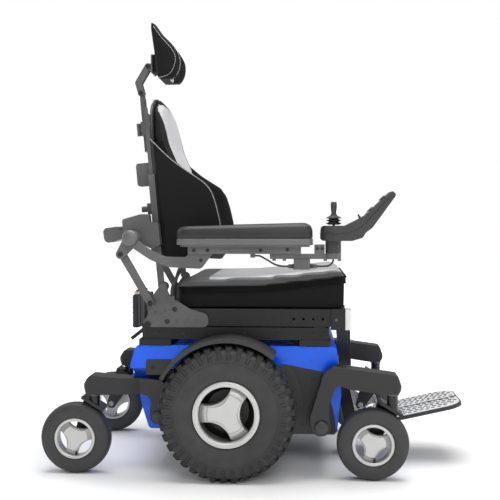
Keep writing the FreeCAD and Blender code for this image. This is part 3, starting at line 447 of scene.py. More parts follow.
def drive_tread():
    """All lugs of one tyre: two staggered middle rows, shoulder blocks, and ribs down the walls."""
    whole = bmesh.new()
    count = 38
    pitch = 2 * pi / count
    y = WHEEL_Y
    join_in(whole, around(tread_lug(y + 3, y + 21, 17, 168, 177.6, skew=3), 0, WHEEL_Z, count))
    join_in(whole, around(tread_lug(y - 21, y - 3, 17, 168, 177.6, skew=3), 0, WHEEL_Z, count, pitch / 2))
    for side in (1, -1):
        inner, middle, outer = y + side * 25, y + side * 38, y + side * 47.4
        for half in (0, 1):
            long_lug = half == 0
            first = pitch / 4 * side + pitch * half
            crown = tread_lug(*sorted((inner, middle)), 19, 162, 176.8, *((0, 2.5) if side > 0 else (2.5, 0)))
            join_in(whole, around(crown, 0, WHEEL_Z, count // 2, first))
            low, drop = (147, 22.0) if long_lug else (153, 15.0)
            wall = tread_lug(*sorted((middle - side * 1.5, outer)), 18 if long_lug else 15, low, 174.3,
                             *((0, drop) if side > 0 else (drop, 0)), taper=0.8)
            join_in(whole, around(wall, 0, WHEEL_Z, count // 2, first))
    return whole


def wall_ribs():
    """Fine radial ribs and a moulded line on both walls of a drive tyre."""
    whole = bmesh.new()
    for side in (1, -1):
        rib = bmesh.new()
        bmesh.ops.create_cube(rib, size=1.0)
        for corner in rib.verts:
            top = corner.co.z > 0
            reach = 157 if top else 138
            face = 47.6 if top else 48.1
            outer = corner.co.y * side > 0
            corner.co = at(corner.co.x * 3.0, WHEEL_Y + side * (face + (0.5 if outer else -2.0)), WHEEL_Z + reach)
        join_in(whole, around(rib, 0, WHEEL_Z, 114))
        line = turned([(side * 47.3, 133.4), (side * 48.6, 134.4), (side * 47.3, 135.4)], WHEEL_Y, 0, WHEEL_Z)
        join_in(whole, line)
    return whole


def star_reach(angle, first, window_at, window_r, limit):
    """Radius of a three-spoke spider at an angle, where round windows cut into its disc."""
    reach = limit
    for step in range(3):
        turn = angle - radians(first + 120 * step)
        if cos(turn) > 0 and abs(sin(turn)) * window_at < window_r:
            reach = min(reach, window_at * cos(turn) - sqrt(window_r ** 2 - (window_at * sin(turn)) ** 2))
    return reach


def spider(x, y, z, first, window_at, window_r, ring_r, boss_r, margin, face, back, bend):
    """Three-spoke centre: loops from the raised flat boss out to the spokes' bent ends, bridged."""
    shape = bmesh.new()
    segments = 180
    loops = []
    steps = [(boss_r, margin + 2.2, face), (boss_r + 2.5, margin, face - 2.2),
             (ring_r * 0.80, 1.6, face - 3.2), (ring_r * 0.86, 0.3, face - 3.2 - bend * 0.22),
             (ring_r * 0.93, 0.0, face - 3.2 - bend * 0.55), (ring_r + 1.5, 0.0, face - 3.2 - bend)]
    for limit, inset, level in steps + [(ring_r + 1.5, 0.0, back - bend * 0.6), (ring_r * 0.7, 3.0, back)]:
        ring = bmesh.ops.create_circle(shape, segments=segments, radius=1.0)["verts"]
        for vert in ring:
            angle = atan2(vert.co.y, vert.co.x)
            open_reach = star_reach(angle, first, window_at, window_r, ring_r + 1.5)
            reach = min(limit, open_reach - inset)
            drop = level
            if limit > ring_r * 0.8 and open_reach < limit:
                share = max(0.0, (open_reach - ring_r * 0.8) / (ring_r * 0.22))
                drop = level if level < back else face - 3.2 - bend * min(1.0, share) ** 1.6 - 0.4
            vert.co = at(x + reach * cos(angle), y + drop, z + reach * sin(angle))
        loops.append(ring)
    rims = []
    for ring in loops:
        inside = set(ring)
        rims.append([e for e in shape.edges if e.verts[0] in inside and e.verts[1] in inside])
    for one, two in zip(rims, rims[1:]):
        bmesh.ops.bridge_loops(shape, edges=one + two)
    for ring in (loops[0], loops[-1]):
        bmesh.ops.contextual_create(shape, geom=ring)
    bmesh.ops.recalc_face_normals(shape, faces=shape.faces)
    return shape


def drive_rim_shape():
    ring = turned([(30, 86.4), (40, 86.6), (44.4, 85.6), (45.6, 83.5), (45.9, 79), (45.3, 74.5), (43.5, 72.4),
                   (40, 71.6), (24, 72.5), (16, 76), (-30, 76), (-36, 78), (-38, 84), (-38, 86.4)],
                  WHEEL_Y, 0, WHEEL_Z, 120)
    join_in(ring, spider(0, WHEEL_Y, WHEEL_Z, 0, 95.5, 61.5, 72.0, 49.0, 5.5, 34, 14, 13))
    return ring


for side in ("left", "right"):
    body = "drive_wheel_" + side
    carcass = turned([(38, 86.8), (42.5, 88.5), (45.5, 94), (47.2, 104), (47.8, 118), (47.6, 134), (47.2, 148),
                      (45, 158), (39, 165), (28, 168.6), (0, 169.8), (-28, 168.6), (-39, 165), (-45, 158),
                      (-47.2, 148), (-47.6, 134), (-47.8, 118), (-47.2, 104), (-45.5, 94), (-42.5, 88.5),
                      (-38, 86.8)], WHEEL_Y, 0, WHEEL_Z, 128)
    ribs = wall_ribs()
    tread = drive_tread()
    rim = drive_rim_shape()
    if side == "right":
        for shape in (carcass, ribs, tread, rim):
            mirror_over(shape)
    join_in(carcass, ribs)
    piece("tyre_" + side, carcass, tyre_wall, body, ["drive_tyre_" + side])
    piece("tread_" + side, tread, tyre_tread, body, crease=30.0)
    piece("rim_" + side, rim, cast_rim, body, ["drive_rim_" + side], crease=28.0)
    sign = 1 if side == "left" else -1
    axle_cap = bolt_head(at(0, sign * 300, 178), (0, sign, 0), 13, 4)
    piece("axle_nut_" + side, axle_cap, zinc_bolt, body)


# ---- Casters ----
# Four swivelling 188 mm casters. Grooved rubber tyres on alloy rims of the drive wheels'
# pattern, each on one black forged fork leg with a zinc axle bolt and a valve stem.

CASTER_Z, CASTER_TYRE_R = 94.0, 94.0
CASTERS = {"rear": (-410.0, 236.0), "front": (377.0, 262.0)}
caster_wall = finish("caster_wall", moulded_rubber, colour=(0.029, 0.029, 0.030), dust=(0.055, 0.055, 0.055),
                     roughness=0.5, dustiness=0.6, grain_depth=0.15)
valve_black = finish("valve_black", coated_surface, colour=(0.012, 0.012, 0.012), tint=(0.02, 0.02, 0.02),
                     worn=(0.08, 0.08, 0.08), roughness=0.4, edge_radius=0.0005)


def caster_tyre_shape(x, y):
    half = [(20.8, 55.2), (23.0, 56.5), (25.2, 61), (26, 68), (25.6, 76), (24.4, 82), (22.2, 86.6),
            (21.0, 87.0), (20.4, 89.0), (18.4, 90.6), (17.4, 89.6), (16.2, 91.0), (13.4, 92.4), (12.4, 91.2),
            (11.4, 92.8), (7.4, 93.6), (6.4, 92.2), (5.4, 93.8), (0, 94.0)]
    mirror_half = [(-a, r) for a, r in reversed(half[:-1])]
    return turned(half + mirror_half, y, x, CASTER_Z, 96)


def caster_rim_shape(x, y):
    rim = turned([(14, 54.4), (20, 54.8), (23.2, 54.2), (24.2, 52.6), (24.0, 48.4), (22.6, 46.6), (19.5, 45.8),
                  (17.5, 46.6), (9, 47.6), (-14, 48), (-20, 49.5), (-21, 54.4)], y, x, CASTER_Z, 96)
    join_in(rim, spider(x, y, CASTER_Z, 75, 75.4, 50.4, 45.6, 33.0, 2.6, 17.5, 3, 5.5))
    return rim


for end, (x, y) in CASTERS.items():
    for side in ("left", "right"):
        wheel_body = end + "_wheel_" + side
        tyre = caster_tyre_shape(x, y)
        rim = caster_rim_shape(x, y)
        valve = bmesh.new()
        bmesh.ops.create_cone(valve, cap_ends=True, segments=16, radius1=0.0032, radius2=0.0022, depth=0.014)
        bmesh.ops.transform(valve, verts=valve.verts, matrix=Matrix.Translation(at(x + 3, y + 18, CASTER_Z - 41))
                            @ upright((0.1, 0.35, 1.0)))
        washer = turned([(-35.5, 7), (-35.5, 13), (-33.8, 13), (-33.8, 7)], y, x, CASTER_Z, 32)
        bolt = bolt_head(at(x, y - 39.6 - 4.2, CASTER_Z), (0, -1, 0), 8.5, 3.0)
        if side == "right":
            for shape in (tyre, rim, valve, washer, bolt):
                mirror_over(shape)
        join_in(valve, washer)
        piece("%s_tyre_%s" % (end, side), tyre, caster_wall, wheel_body, ["%s_caster_tyre_%s" % (end, side)],
              crease=28.0)
        piece("%s_rim_%s" % (end, side), rim, cast_rim, wheel_body, ["%s_caster_rim_%s" % (end, side)],
              crease=28.0)
        piece("%s_valve_%s" % (end, side), valve, valve_black, wheel_body)
        piece("%s_axle_bolt_%s" % (end, side), bolt, zinc_bolt, "%s_fork_%s" % (end, side))

paint(satin_casting, *["%s_caster_fork_%s" % (end, side) for end in CASTERS for side in ("left", "right")])


# ---- Swing arms ----
# Cast arms that carry the casters, sprung on pins at the chassis. Gloss black paint, a grey
# bearing seal under each stem housing and a domed cap on each pivot pin.

paint(satin_casting, *["%s_swing_arm_%s" % (end, side) for end in CASTERS for side in ("left", "right")])
bearing_grey = finish("bearing_grey", coated_surface, metallic=0.5, colour=(0.10, 0.10, 0.10),
                      tint=(0.14, 0.14, 0.14), worn=(0.3, 0.3, 0.3), roughness=0.4, edge_radius=0.0008)
cap_plastic = finish("cap_plastic", coated_surface, colour=(0.03, 0.03, 0.032), tint=(0.045, 0.045, 0.045),
                     worn=(0.1, 0.1, 0.1), roughness=0.42, edge_radius=0.0015)

for end, (x, y), stem_x, under in (("rear", CASTERS["rear"], -360, 213), ("front", CASTERS["front"], 427, 227)):
    for side in ("left", "right"):
        sign = 1 if side == "left" else -1
        fork = end + "_fork_" + side
        seal = bmesh.new()
        bmesh.ops.create_cone(seal, cap_ends=True, segments=40, radius1=0.0165, radius2=0.0165, depth=0.006)
        bmesh.ops.translate(seal, vec=at(stem_x, sign * y, under - 3.4), verts=seal.verts)
        rims = [e for e in seal.edges if len(e.link_faces) == 2 and e.calc_face_angle() > 1.0]
        bmesh.ops.bevel(seal, geom=rims, offset=0.0016, affect="EDGES", segments=3, profile=0.5, material=-1)
        piece("%s_bearing_seal_%s" % (end, side), seal, bearing_grey, fork)


def pivot_cap(place, outward, radius, depth):
    """Domed dust cap over a pivot pin."""
    cap = bmesh.new()
    bmesh.ops.create_uvsphere(cap, u_segments=32, v_segments=16, radius=radius / 1000)
    bmesh.ops.bisect_plane(cap, geom=cap.verts[:] + cap.edges[:] + cap.faces[:], plane_co=(0, 0, 0),
                           plane_no=(0, 0, 1), clear_inner=True)
    bmesh.ops.scale(cap, vec=(1, 1, depth / radius), verts=cap.verts)
    rim = [e for e in cap.edges if e.is_boundary]
    bmesh.ops.contextual_create(cap, geom=rim)
    bmesh.ops.transform(cap, verts=cap.verts, matrix=Matrix.Translation(at(*place)) @ upright(outward))
    return cap


caps = bmesh.new()
for x, y, z, radius in ((-192, 243.6, 151, 14.5), (243, 301.6, 141, 17.5)):
    join_in(caps, pivot_cap((x, y, z), (0, 1, 0), radius, 4.0))
    join_in(caps, pivot_cap((x, -y, z), (0, -1, 0), radius, 4.0))
piece("pivot_caps", caps, cap_plastic, "base")


# ---- Seat frame ----
# Square rails with a row of accessory holes, grey pressed side plates that carry the back's
# pivots, pale guards at the front corners, and a pan under the cushion.

plate_grey = finish("plate_grey", coated_surface, colour=(0.075, 0.075, 0.077), tint=(0.10, 0.10, 0.10),
                    worn=(0.25, 0.25, 0.25), roughness=0.36, grain_size=1200.0, grain_depth=0.15,
                    edge_wear=0.6, edge_radius=0.0012)
guard_white = finish("guard_white", coated_surface, coat=0.3, colour=(0.72, 0.72, 0.73), tint=(0.65, 0.65, 0.66),
                     worn=(0.85, 0.85, 0.85), roughness=0.3, edge_radius=0.003)
paint(powder_coat, "seat_frame")
paint(plate_grey, "side_plates")
paint(guard_white, "front_guards")

fasteners("plate_screws", [((x, 241.1, z), (0, 1, 0)) for x, z in
                           ((-195, 429), (-172, 433), (-139, 408), (-114, 408), (-86, 408))],
          plate_grey, "seat", 4.6, 1.6)
# Black discs stand for two open holes in the plates: painted shade of their dark insides.
fasteners("plate_hole_shade", [((x, 241.1, z), (0, 1, 0)) for x, z in ((-144, 438), (-164, 406))],
          black_screw, "seat", 6.6, 1.0, sides=0)
fasteners("rail_screws", [((x, 235.1, z), (0, 1, 0)) for x, z in
                          ((-35, 409), (17, 410), (119, 412), (139, 399), (161, 399), (185, 399))],
          black_screw, "seat", 3.4, 1.4, sides=0)
fasteners("bracket_screws", [((282, 241.1, 413), (0, 1, 0))], plate_grey, "seat", 5.0, 2.4)
fasteners("base_rail_screws", [((x, 232.1, 374), (0, 1, 0)) for x in (-190, -120, 40, 130, 220, 250)],
          black_screw, "base", 4.6, 2.2)


# ---- Seat cushion ----
# Foam base in black stretch cloth with a grey wipe-clean top, joined by a black zip band. The
# cover is pulled over foam a little too large for it, so its faces crown between the seams.

def cloth_effect():
    """Woven or coated cloth: crossed threads as bump, a cloudy tint, and lighter thread tops."""
    tree, start, end = effect("stretch_cloth", {
        "Colour": (0.02, 0.02, 0.02, 1.0), "Thread": (0.04, 0.04, 0.04, 1.0), "Threads": 900.0,
        "Depth": 0.4, "Roughness": 0.8, "Creases": 0.3})
    place = add(tree, "ShaderNodeTexCoord").outputs["Object"]
    cloud = add(tree, "ShaderNodeTexNoise", {"Vector": place, "Scale": 14.0, "Detail": 4.0})
    parts = add(tree, "ShaderNodeSeparateXYZ", {0: place})
    runs = []
    for one, other in ((0, 1), (2, 1)):
        total = add(tree, "ShaderNodeMath", {0: parts.outputs[one], 1: parts.outputs[other]}, operation="ADD")
        scaled = add(tree, "ShaderNodeMath", {0: total.outputs[0], 1: start.outputs["Threads"]},
                     operation="MULTIPLY")
        wave = add(tree, "ShaderNodeMath", {0: scaled.outputs[0]}, operation="SINE")
        runs.append(wave.outputs[0])
    weave = add(tree, "ShaderNodeMath", {0: runs[0], 1: runs[1]}, operation="MULTIPLY")
    tops = add(tree, "ShaderNodeMapRange", {"Value": weave.outputs[0], "From Min": -1.0})
    mixed = add(tree, "ShaderNodeMath", {0: tops.outputs[0], 1: cloud.outputs["Fac"]}, operation="MULTIPLY")
    colour = add(tree, "ShaderNodeMix", {"Factor": mixed.outputs[0], 6: start.outputs["Colour"],
                                         7: start.outputs["Thread"]}, data_type="RGBA")
    folds = add(tree, "ShaderNodeTexNoise", {"Vector": place, "Scale": 22.0, "Detail": 3.0, "Distortion": 1.2})
    creased = add(tree, "ShaderNodeBump", {"Strength": start.outputs["Creases"], "Distance": 0.002,
                                           "Height": folds.outputs["Fac"]})
    bump = add(tree, "ShaderNodeBump", {"Strength": start.outputs["Depth"], "Distance": 0.0003,
                                        "Height": tops.outputs[0], "Normal": creased.outputs[0]})
    rough = add(tree, "ShaderNodeMath", {0: cloud.outputs["Fac"], 1: 0.1, 2: start.outputs["Roughness"]},
                operation="MULTIPLY_ADD")
    tree.links.new(colour.outputs[2], end.inputs["Colour"])
    tree.links.new(rough.outputs[0], end.inputs["Roughness"])
    tree.links.new(bump.outputs[0], end.inputs["Normal"])
    return tree


stretch_cloth = cloth_effect()
black_cloth = finish("black_cloth", stretch_cloth, specular=0.2, colour=(0.005, 0.005, 0.0055),
                     thread=(0.011, 0.011, 0.0115), threads=3200.0, depth=0.3, roughness=0.72, creases=0.25)
wipe_grey = finish("wipe_grey", stretch_cloth, coat=0.15, colour=(0.30, 0.30, 0.31), thread=(0.42, 0.42, 0.43),
                   threads=2600.0, depth=0.2, roughness=0.34, creases=0.35)
zip_tape = finish("zip_tape", stretch_cloth, specular=0.1, colour=(0.003, 0.003, 0.003),
                  thread=(0.005, 0.005, 0.005), threads=2600.0, depth=0.4, roughness=0.6, creases=0.1)
piping_grey = finish("piping_grey", stretch_cloth, colour=(0.30, 0.30, 0.30), thread=(0.38, 0.38, 0.38),
                     threads=4000.0, depth=0.2, roughness=0.5, creases=0.0)


def solids_of(node):
    """Each solid of a CAD node as a merged shape of its own, in order along y."""
    whole = bmesh.new()
    whole.from_mesh(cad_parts[node].data)
    bmesh.ops.remove_doubles(whole, verts=whole.verts, dist=1e-5)
    left = set(whole.verts)
    found = []
    while left:
        island, fringe = set(), [left.pop()]
        while fringe:
            vert = fringe.pop()
            island.add(vert)
            near = {e.other_vert(vert) for e in vert.link_edges} & left
            left -= near
            fringe += near
        found.append({v.index for v in island})
    shapes = []
    for keep in found:
        part = whole.copy()
        part.verts.ensure_lookup_table()
        bmesh.ops.delete(part, geom=[v for v in part.verts if v.index not in keep], context="VERTS")
        shapes.append(part)
    whole.free()
    return sorted(shapes, key=lambda part: sum(v.co.y for v in part.verts) / len(part.verts))


def bare_object(name, shape):
    mesh = bpy.data.meshes.new(name)
    shape.to_mesh(mesh)
    shape.free()
    made = bpy.data.objects.new(name, mesh)
    bpy.context.scene.collection.objects.link(made)
    return made


def baked(item):
    """The mesh that an object's modifiers give now."""
    return bpy.data.meshes.new_from_object(item.evaluated_get(bpy.context.evaluated_depsgraph_get()))


def stuffed(name, shape, material, body, give, cap, voxel=0.006, pressure=4.0, stands_for=(),
            floor_z=None):
    """Foam pad: its outline is remeshed, drawn in by give, blown up as cloth and held within cap."""
    item = bare_object(name, shape)
    remesh = item.modifiers.new("remesh", "REMESH")
    remesh.mode = "VOXEL"
    remesh.voxel_size = voxel
    skin = baked(item)
    item.modifiers.clear()
    outline = [v.co.copy() for v in skin.vertices]
    normals = [v.normal.copy() for v in skin.vertices]
    for vert, normal in zip(skin.vertices, normals):
        vert.co -= normal * give
    item.data = skin
    cloth = item.modifiers.new("cloth", "CLOTH")
    cloth.settings.use_pressure = True
    cloth.settings.uniform_pressure_force = pressure
    cloth.settings.effector_weights.gravity = 0.0
    cloth.settings.quality = 5
    cloth.point_cache.frame_end = 20
    for step in range(1, 21):
        bpy.context.scene.frame_set(step)
    blown = baked(item)
    item.modifiers.clear()
    for vert, swollen, start, normal in zip(skin.vertices, blown.vertices, outline, normals):
        shift = swollen.co - start
        reach = max(-give, min(cap, shift.dot(normal)))
        vert.co = start + normal * reach
    bpy.context.scene.frame_set(1)
    if floor_z is not None:
        for vert in skin.vertices:
            vert.co.z = max(vert.co.z, floor_z)
    soft = bmesh.new()
    soft.from_mesh(skin)
    for _ in range(2):
        bmesh.ops.smooth_vert(soft, verts=soft.verts, factor=0.5, use_axis_x=True, use_axis_y=True,
                              use_axis_z=True)
    bpy.data.objects.remove(item)
    made = piece(name, soft, material, body, stands_for, crease=60.0)
    rounder = made.modifiers.new("rounder", "SUBSURF")
    rounder.levels = rounder.render_levels = 1
    return made


def cord_line(name, points, radius, material, body, closed=False):
    """Sewn-in piping along smooth points, made a mesh."""
    line = bpy.data.curves.new(name, "CURVE")
    line.dimensions = "3D"
    line.bevel_depth = radius / 1000
    line.bevel_resolution = 2
    line.resolution_u = 6
    run = line.splines.new("NURBS")
    run.points.add(len(points) - 1)
    for spot, place in zip(run.points, points):
        spot.co = (*place, 1.0)
    run.use_cyclic_u = closed
    run.order_u = 3
    run.use_endpoint_u = not closed
    holder = bpy.data.objects.new(name, line)
    bpy.context.scene.collection.objects.link(holder)
    shape = bmesh.new()
    shape.from_mesh(baked(holder))
    bpy.data.objects.remove(holder)
    bmesh.ops.holes_fill(shape, edges=[e for e in shape.edges if e.is_boundary], sides=0)
    bmesh.ops.recalc_face_normals(shape, faces=shape.faces)
    return piece(name, shape, material, body)


SEAM = ((-137.0, 490.0), (90.0, 496.0), (200.0, 508.0), (308.0, 522.0))


def seam_height(x):
    """Height of the cushion's zip band at a distance along the seat, easing between its points."""
    for (x0, z0), (x1, z1) in zip(SEAM, SEAM[1:]):
        if x <= x1:
            return z0 + (z1 - z0) * max(0.0, (x - x0) / (x1 - x0))
    return SEAM[-1][1]


def cushion_ring(grow, drop):
    """Points round the cushion's sides at its seam, grow outside them and drop below it."""
    ring = bmesh.new()
    corners = [(-137, -225), (308, -225), (308, 225), (-137, 225)]
    verts = [ring.verts.new((x + (grow if x > 0 else -grow), y + (grow if y > 0 else -grow), 0))
             for x, y in corners]
    ring.faces.new(verts)
    bmesh.ops.bevel(ring, geom=verts, offset=22, affect="VERTICES", segments=6, profile=0.5, material=-1)
    bmesh.ops.subdivide_edges(ring, edges=[e for e in ring.edges if e.calc_length() > 100], cuts=17)
    loop = ring.faces[:][0].loops if len(ring.faces) == 1 else max(ring.faces, key=lambda f: len(f.verts)).loops
    points = [at(l.vert.co.x, l.vert.co.y, seam_height(l.vert.co.x) - drop) for l in loop]
    ring.free()
    return points


stuffed("seat_base_foam", solids_of("cushion_base")[0], black_cloth, "seat", 0.004, 0.0015, voxel=0.007,
        stands_for=["cushion_base"], floor_z=at(0, 0, 441.2).z)
top_pad = stuffed("seat_top_pad", solids_of("cushion_top")[0], wipe_grey, "seat", 0.003, 0.006, voxel=0.007,
                  stands_for=["cushion_top"])
# A darker copy of the grey cover for the top pad's sides: painted shade, the cover itself is one grey.
wipe_side_painted_shade = finish("wipe_side_painted_shade", stretch_cloth, specular=0.3, colour=(0.07, 0.07, 0.072),
                   thread=(0.11, 0.11, 0.112), threads=2600.0, depth=0.2, roughness=0.4, creases=0.35)
top_pad.data.materials.append(wipe_side_painted_shade)
PAD_TOP_HALF, PAD_TOP_FRONT, PAD_TOP_REAR = 0.213, 0.296, -0.125
for face in top_pad.data.polygons:
    along, across = face.center.x, abs(face.center.y)
    face.material_index = int(across > PAD_TOP_HALF or along > PAD_TOP_FRONT or along < PAD_TOP_REAR)

band = bmesh.new()
upper, lower = cushion_ring(0.6, -1.5), cushion_ring(0.6, 12.5)
top_ring = [band.verts.new(p) for p in upper]
low_ring = [band.verts.new(p) for p in lower]
for ring in (top_ring, low_ring):
    for a, b in zip(ring, ring[1:] + ring[:1]):
        band.edges.new((a, b))
bmesh.ops.bridge_loops(band, edges=band.edges)
bmesh.ops.recalc_face_normals(band, faces=band.faces)
bmesh.ops.solidify(band, geom=band.faces[:], thickness=0.0015)
piece("seat_zip_band", band, zip_tape, "seat")
cord_line("seat_upper_piping", cushion_ring(1.2, -2.5), 2.2, zip_tape, "seat", closed=True)
cord_line("seat_lower_piping", cushion_ring(1.0, 13.5), 1.3, black_cloth, "seat", closed=True)


# ---- Back ----
# Padded centre with a lumbar bulge, in grey on its face and black on its sides, between two
# black wings edged with pale piping, over a moulded shell on an upright alloy frame. The face's
# grey is partly the cover's own colour and partly a painted highlight.

back_alloy = finish("back_alloy", coated_surface, metallic=0.2, colour=(0.085, 0.085, 0.086),
                    tint=(0.115, 0.115, 0.115), worn=(0.3, 0.3, 0.3), roughness=0.34, grain_size=1200.0,
                    grain_depth=0.12, edge_wear=0.5, edge_radius=0.0015)
shell_black = finish("shell_black", coated_surface, colour=(0.02, 0.02, 0.021), tint=(0.03, 0.03, 0.03),
                     worn=(0.07, 0.07, 0.07), roughness=0.45, grain_size=900.0, grain_depth=0.3,
                     edge_radius=0.002)
paint(back_alloy, "back_frame", "headrest_post", "headrest_link", "headrest_bracket")
paint(shell_black, "back_shell")


def leaned(along, up, y):
    """A point of the back, given upright from the recline pivot and leaned with it."""
    lean = radians(5.0)
    return at(-175 + along * cos(lean) - up * sin(lean), y, 498 + along * sin(lean) + up * cos(lean))


right_wing, centre_pad, left_wing = solids_of("back_cushion")
for name, shape in (("back_wing_right", right_wing), ("back_wing_left", left_wing)):
    stuffed(name, shape, black_cloth, "back", 0.003, 0.0, voxel=0.005,
            stands_for=["back_cushion"] if name.endswith("left") else ())
centre = stuffed("back_centre_pad", centre_pad, black_cloth, "back", 0.004, 0.004, voxel=0.006)
back_face_and_highlight = finish("back_face_and_highlight", stretch_cloth, sheen=0.1, colour=(0.36, 0.36, 0.37), thread=(0.50, 0.50, 0.51),
                   threads=2600.0, depth=0.3, roughness=0.55, creases=0.3)
centre.data.materials.append(back_face_and_highlight)
# Forward-facing cloth of the centre pad takes the grey: partly its grey front panel, partly a painted highlight.
for face in centre.data.polygons:
    if face.normal.x > 0.25 and abs(face.center.y) < 0.150 and face.center.z < leaned(0, 500, 0).z:
        face.material_index = 1

WING_EDGE = [(4, 397), (26, 370), (54, 338), (84, 312), (112, 290), (136, 270), (150, 252), (157, 234),
             (163, 208), (167, 180), (171, 152), (164, 118), (150, 96)]
for name, sign in (("left", 1), ("right", -1)):
    cord_line("wing_piping_" + name, [leaned(a - 5, b - 4, sign * 227.6) for a, b in WING_EDGE], 0.9,
              piping_grey, "back")


# ---- Headrest ----
# A curved foam pad in black cloth with pale piping round both edges of its wings, on a bent
# double link with a clamp screw at each pivot, so that it can be set for reach and tilt.

headrest = stuffed("headrest_foam", solids_of("headrest_pad")[0], black_cloth, "headrest", 0.002, 0.001,
                   voxel=0.004, stands_for=["headrest_pad"])
headrest.data.materials.append(back_face_and_highlight)

# The headrest's forward-facing middle takes the same grey, partly a painted highlight.
for face in headrest.data.polygons:
    if face.normal.x > 0.5 and abs(face.center.y) < 0.027:
        face.material_index = 1

WING_RIM = [(-228, 66.4, 1222), (-216, 67.6, 1204), (-197, 67.8, 1181), (-178, 67.8, 1161), (-166, 67.6, 1143),
            (-164.5, 67.4, 1122), (-172, 67.6, 1100), (-182, 67.4, 1086), (-199, 66.8, 1080), (-216, 65, 1076)]
FRONT_RIM = [(-200, 59, 1196), (-184, 59, 1181), (-168, 59.5, 1163), (-155, 60, 1141), (-151.5, 58.6, 1120),
             (-155, 60, 1098), (-164, 60.5, 1082), (-174, 60, 1074.6)]
for name, sign in (("left", 1), ("right", -1)):
    for rim, points in (("outer", WING_RIM), ("inner", FRONT_RIM)):
        cord_line("headrest_piping_%s_%s" % (rim, name), [at(x, sign * y, z) for x, y, z in points], 0.7,
                  piping_grey, "headrest")

fasteners("headrest_low_screw", [((-273, 14.6, 1042), (0, 1, 0))], black_screw, "headrest_arm", 6.5, 4.0)
fasteners("headrest_top_screw", [((-253, 14.6, 1118), (0, 1, 0))], black_screw, "headrest_arm", 6.5, 4.0)


# ---- Armrests ----
# Cranked flat bars on big pivots at the back, with a strut on each side that keeps them level.
# Each pad is skinned foam crowned above a hard base, whose paler grey is partly its own plastic and partly a painted
# highlight, screwed down from below.

arm_grey = finish("arm_grey", coated_surface, metallic=0.15, colour=(0.10, 0.10, 0.102), tint=(0.13, 0.13, 0.13),
                  worn=(0.3, 0.3, 0.3), roughness=0.36, grain_size=1300.0, grain_depth=0.12, edge_wear=0.5,
                  edge_radius=0.0015)
skinned_foam = finish("skinned_foam", coated_surface, specular=0.35, colour=(0.018, 0.018, 0.0185),
                      tint=(0.03, 0.03, 0.031), worn=(0.06, 0.06, 0.06), roughness=0.42, spread=0.12,
                      grain_size=700.0, grain_depth=0.35, edge_wear=0.3, edge_radius=0.002)
pad_base_and_highlight = finish("pad_base_and_highlight", coated_surface, colour=(0.10, 0.10, 0.102), tint=(0.13, 0.13, 0.13),
                  worn=(0.25, 0.25, 0.25), roughness=0.4, grain_size=900.0, grain_depth=0.2, edge_radius=0.0015)
for side in ("left", "right"):
    paint(arm_grey, "arm_crank_" + side, "arm_strut_" + side, "armrest_bar_" + side)


PAD_SEAM = 628.0


def pad_loop(shape, inset, height):
    """One level of the arm pad: its rounded plan drawn in by inset, at a height in millimetres
    for the base, or at a share of the foam's height."""
    start = bmesh.new()
    x0, x1, y0, y1 = -128 + inset, 220 - inset, 262 + inset, 334 - inset
    corners = [start.verts.new((x, y, 0)) for x, y in ((x0, y0), (x1, y0), (x1, y1), (x0, y1))]
    start.faces.new(corners)
    bmesh.ops.bevel(start, geom=corners, offset=max(2.0, min(26 - inset * 0.3, (y1 - y0) * 0.46)),
                    affect="VERTICES", segments=8, profile=0.5, material=-1)
    face = max(start.faces, key=lambda f: len(f.verts))
    spots = []
    for loop in face.loops:
        x, y = loop.vert.co.x, loop.vert.co.y
        top = 658 + 8 * max(0.0, min(1.0, (x + 128) / 250))
        spots.append(shape.verts.new(at(x, y, height if height > 600 else PAD_SEAM + (top - PAD_SEAM) * height)))
    start.free()
    edges = [shape.edges.new((a, b)) for a, b in zip(spots, spots[1:] + spots[:1])]
    return spots, edges


def arm_pad():
    """The pad's hard base, and the foam crowned above the seam between them."""
    shape = bmesh.new()
    levels = [(8.0, 606.3), (8.0, 610.6), (1.2, 611.0), (0.0, 612.2), (0.0, 625.0), (1.0, 627.0), (3.0, 627.6),
              (3.0, 628.6), (1.6, 0.03), (0.6, 0.10), (0.8, 0.42), (1.9, 0.60), (4.0, 0.76), (7.0, 0.87),
              (11.5, 0.945), (17.5, 0.985), (25.0, 1.0)]
    loops = [pad_loop(shape, inset, height) for inset, height in levels]
    for (_, one), (_, other) in zip(loops, loops[1:]):
        bmesh.ops.bridge_loops(shape, edges=one + other)
    for spots, _ in (loops[0], loops[-1]):
        bmesh.ops.contextual_create(shape, geom=spots)
    bmesh.ops.recalc_face_normals(shape, faces=shape.faces)
    return shape


for side in ("left", "right"):
    pad = arm_pad()
    if side == "right":
        mirror_over(pad)
    armrest = piece("arm_pad_" + side, pad, skinned_foam, "armrest_" + side, ["armrest_pad_" + side],
                    crease=50.0)
    # The hard base below the seam takes the paler grey: partly its own plastic, partly a painted highlight on its
    # lip.
    armrest.data.materials.append(pad_base_and_highlight)
    for face in armrest.data.polygons:
        face.material_index = int(face.center.z * 1000 < PAD_SEAM - 0.6)
    sign = 1 if side == "left" else -1
    out = (0, sign, 0)
    screws = bmesh.new()
    for x, z, face_y in ((-84, 597, 308.1), (-49, 597, 308.1), (-67, 571, 298.1), (87, 597, 308.1),
                         (155, 599, 308.1)):
        join_in(screws, bolt_head(at(x, sign * face_y, z), out, 4.6, 2.2))
    piece("armrest_screws_" + side, screws, black_screw, "armrest_" + side)
    knob = pivot_cap((-250, sign * 304.2, 628), out, 21, 12)
    piece("arm_pivot_dome_" + side, knob, arm_grey, "back")
    join = bolt_head(at(-281, sign * 276.1, 585), out, 6.5, 3.0, sides=0)
    piece("crank_pin_" + side, join, black_screw, "crank_" + side)
    foot = bolt_head(at(-206, sign * 260.1, 455), out, 7.0, 2.6, sides=0)
    piece("strut_pin_" + side, foot, black_screw, "seat")


# ---- Joystick ----
# Moulded case on a swing-away mount: stick with a rubber bellows at the back, and a raised
# panel in front with a small display, a toggle and two keys. A cable runs from it in clips.

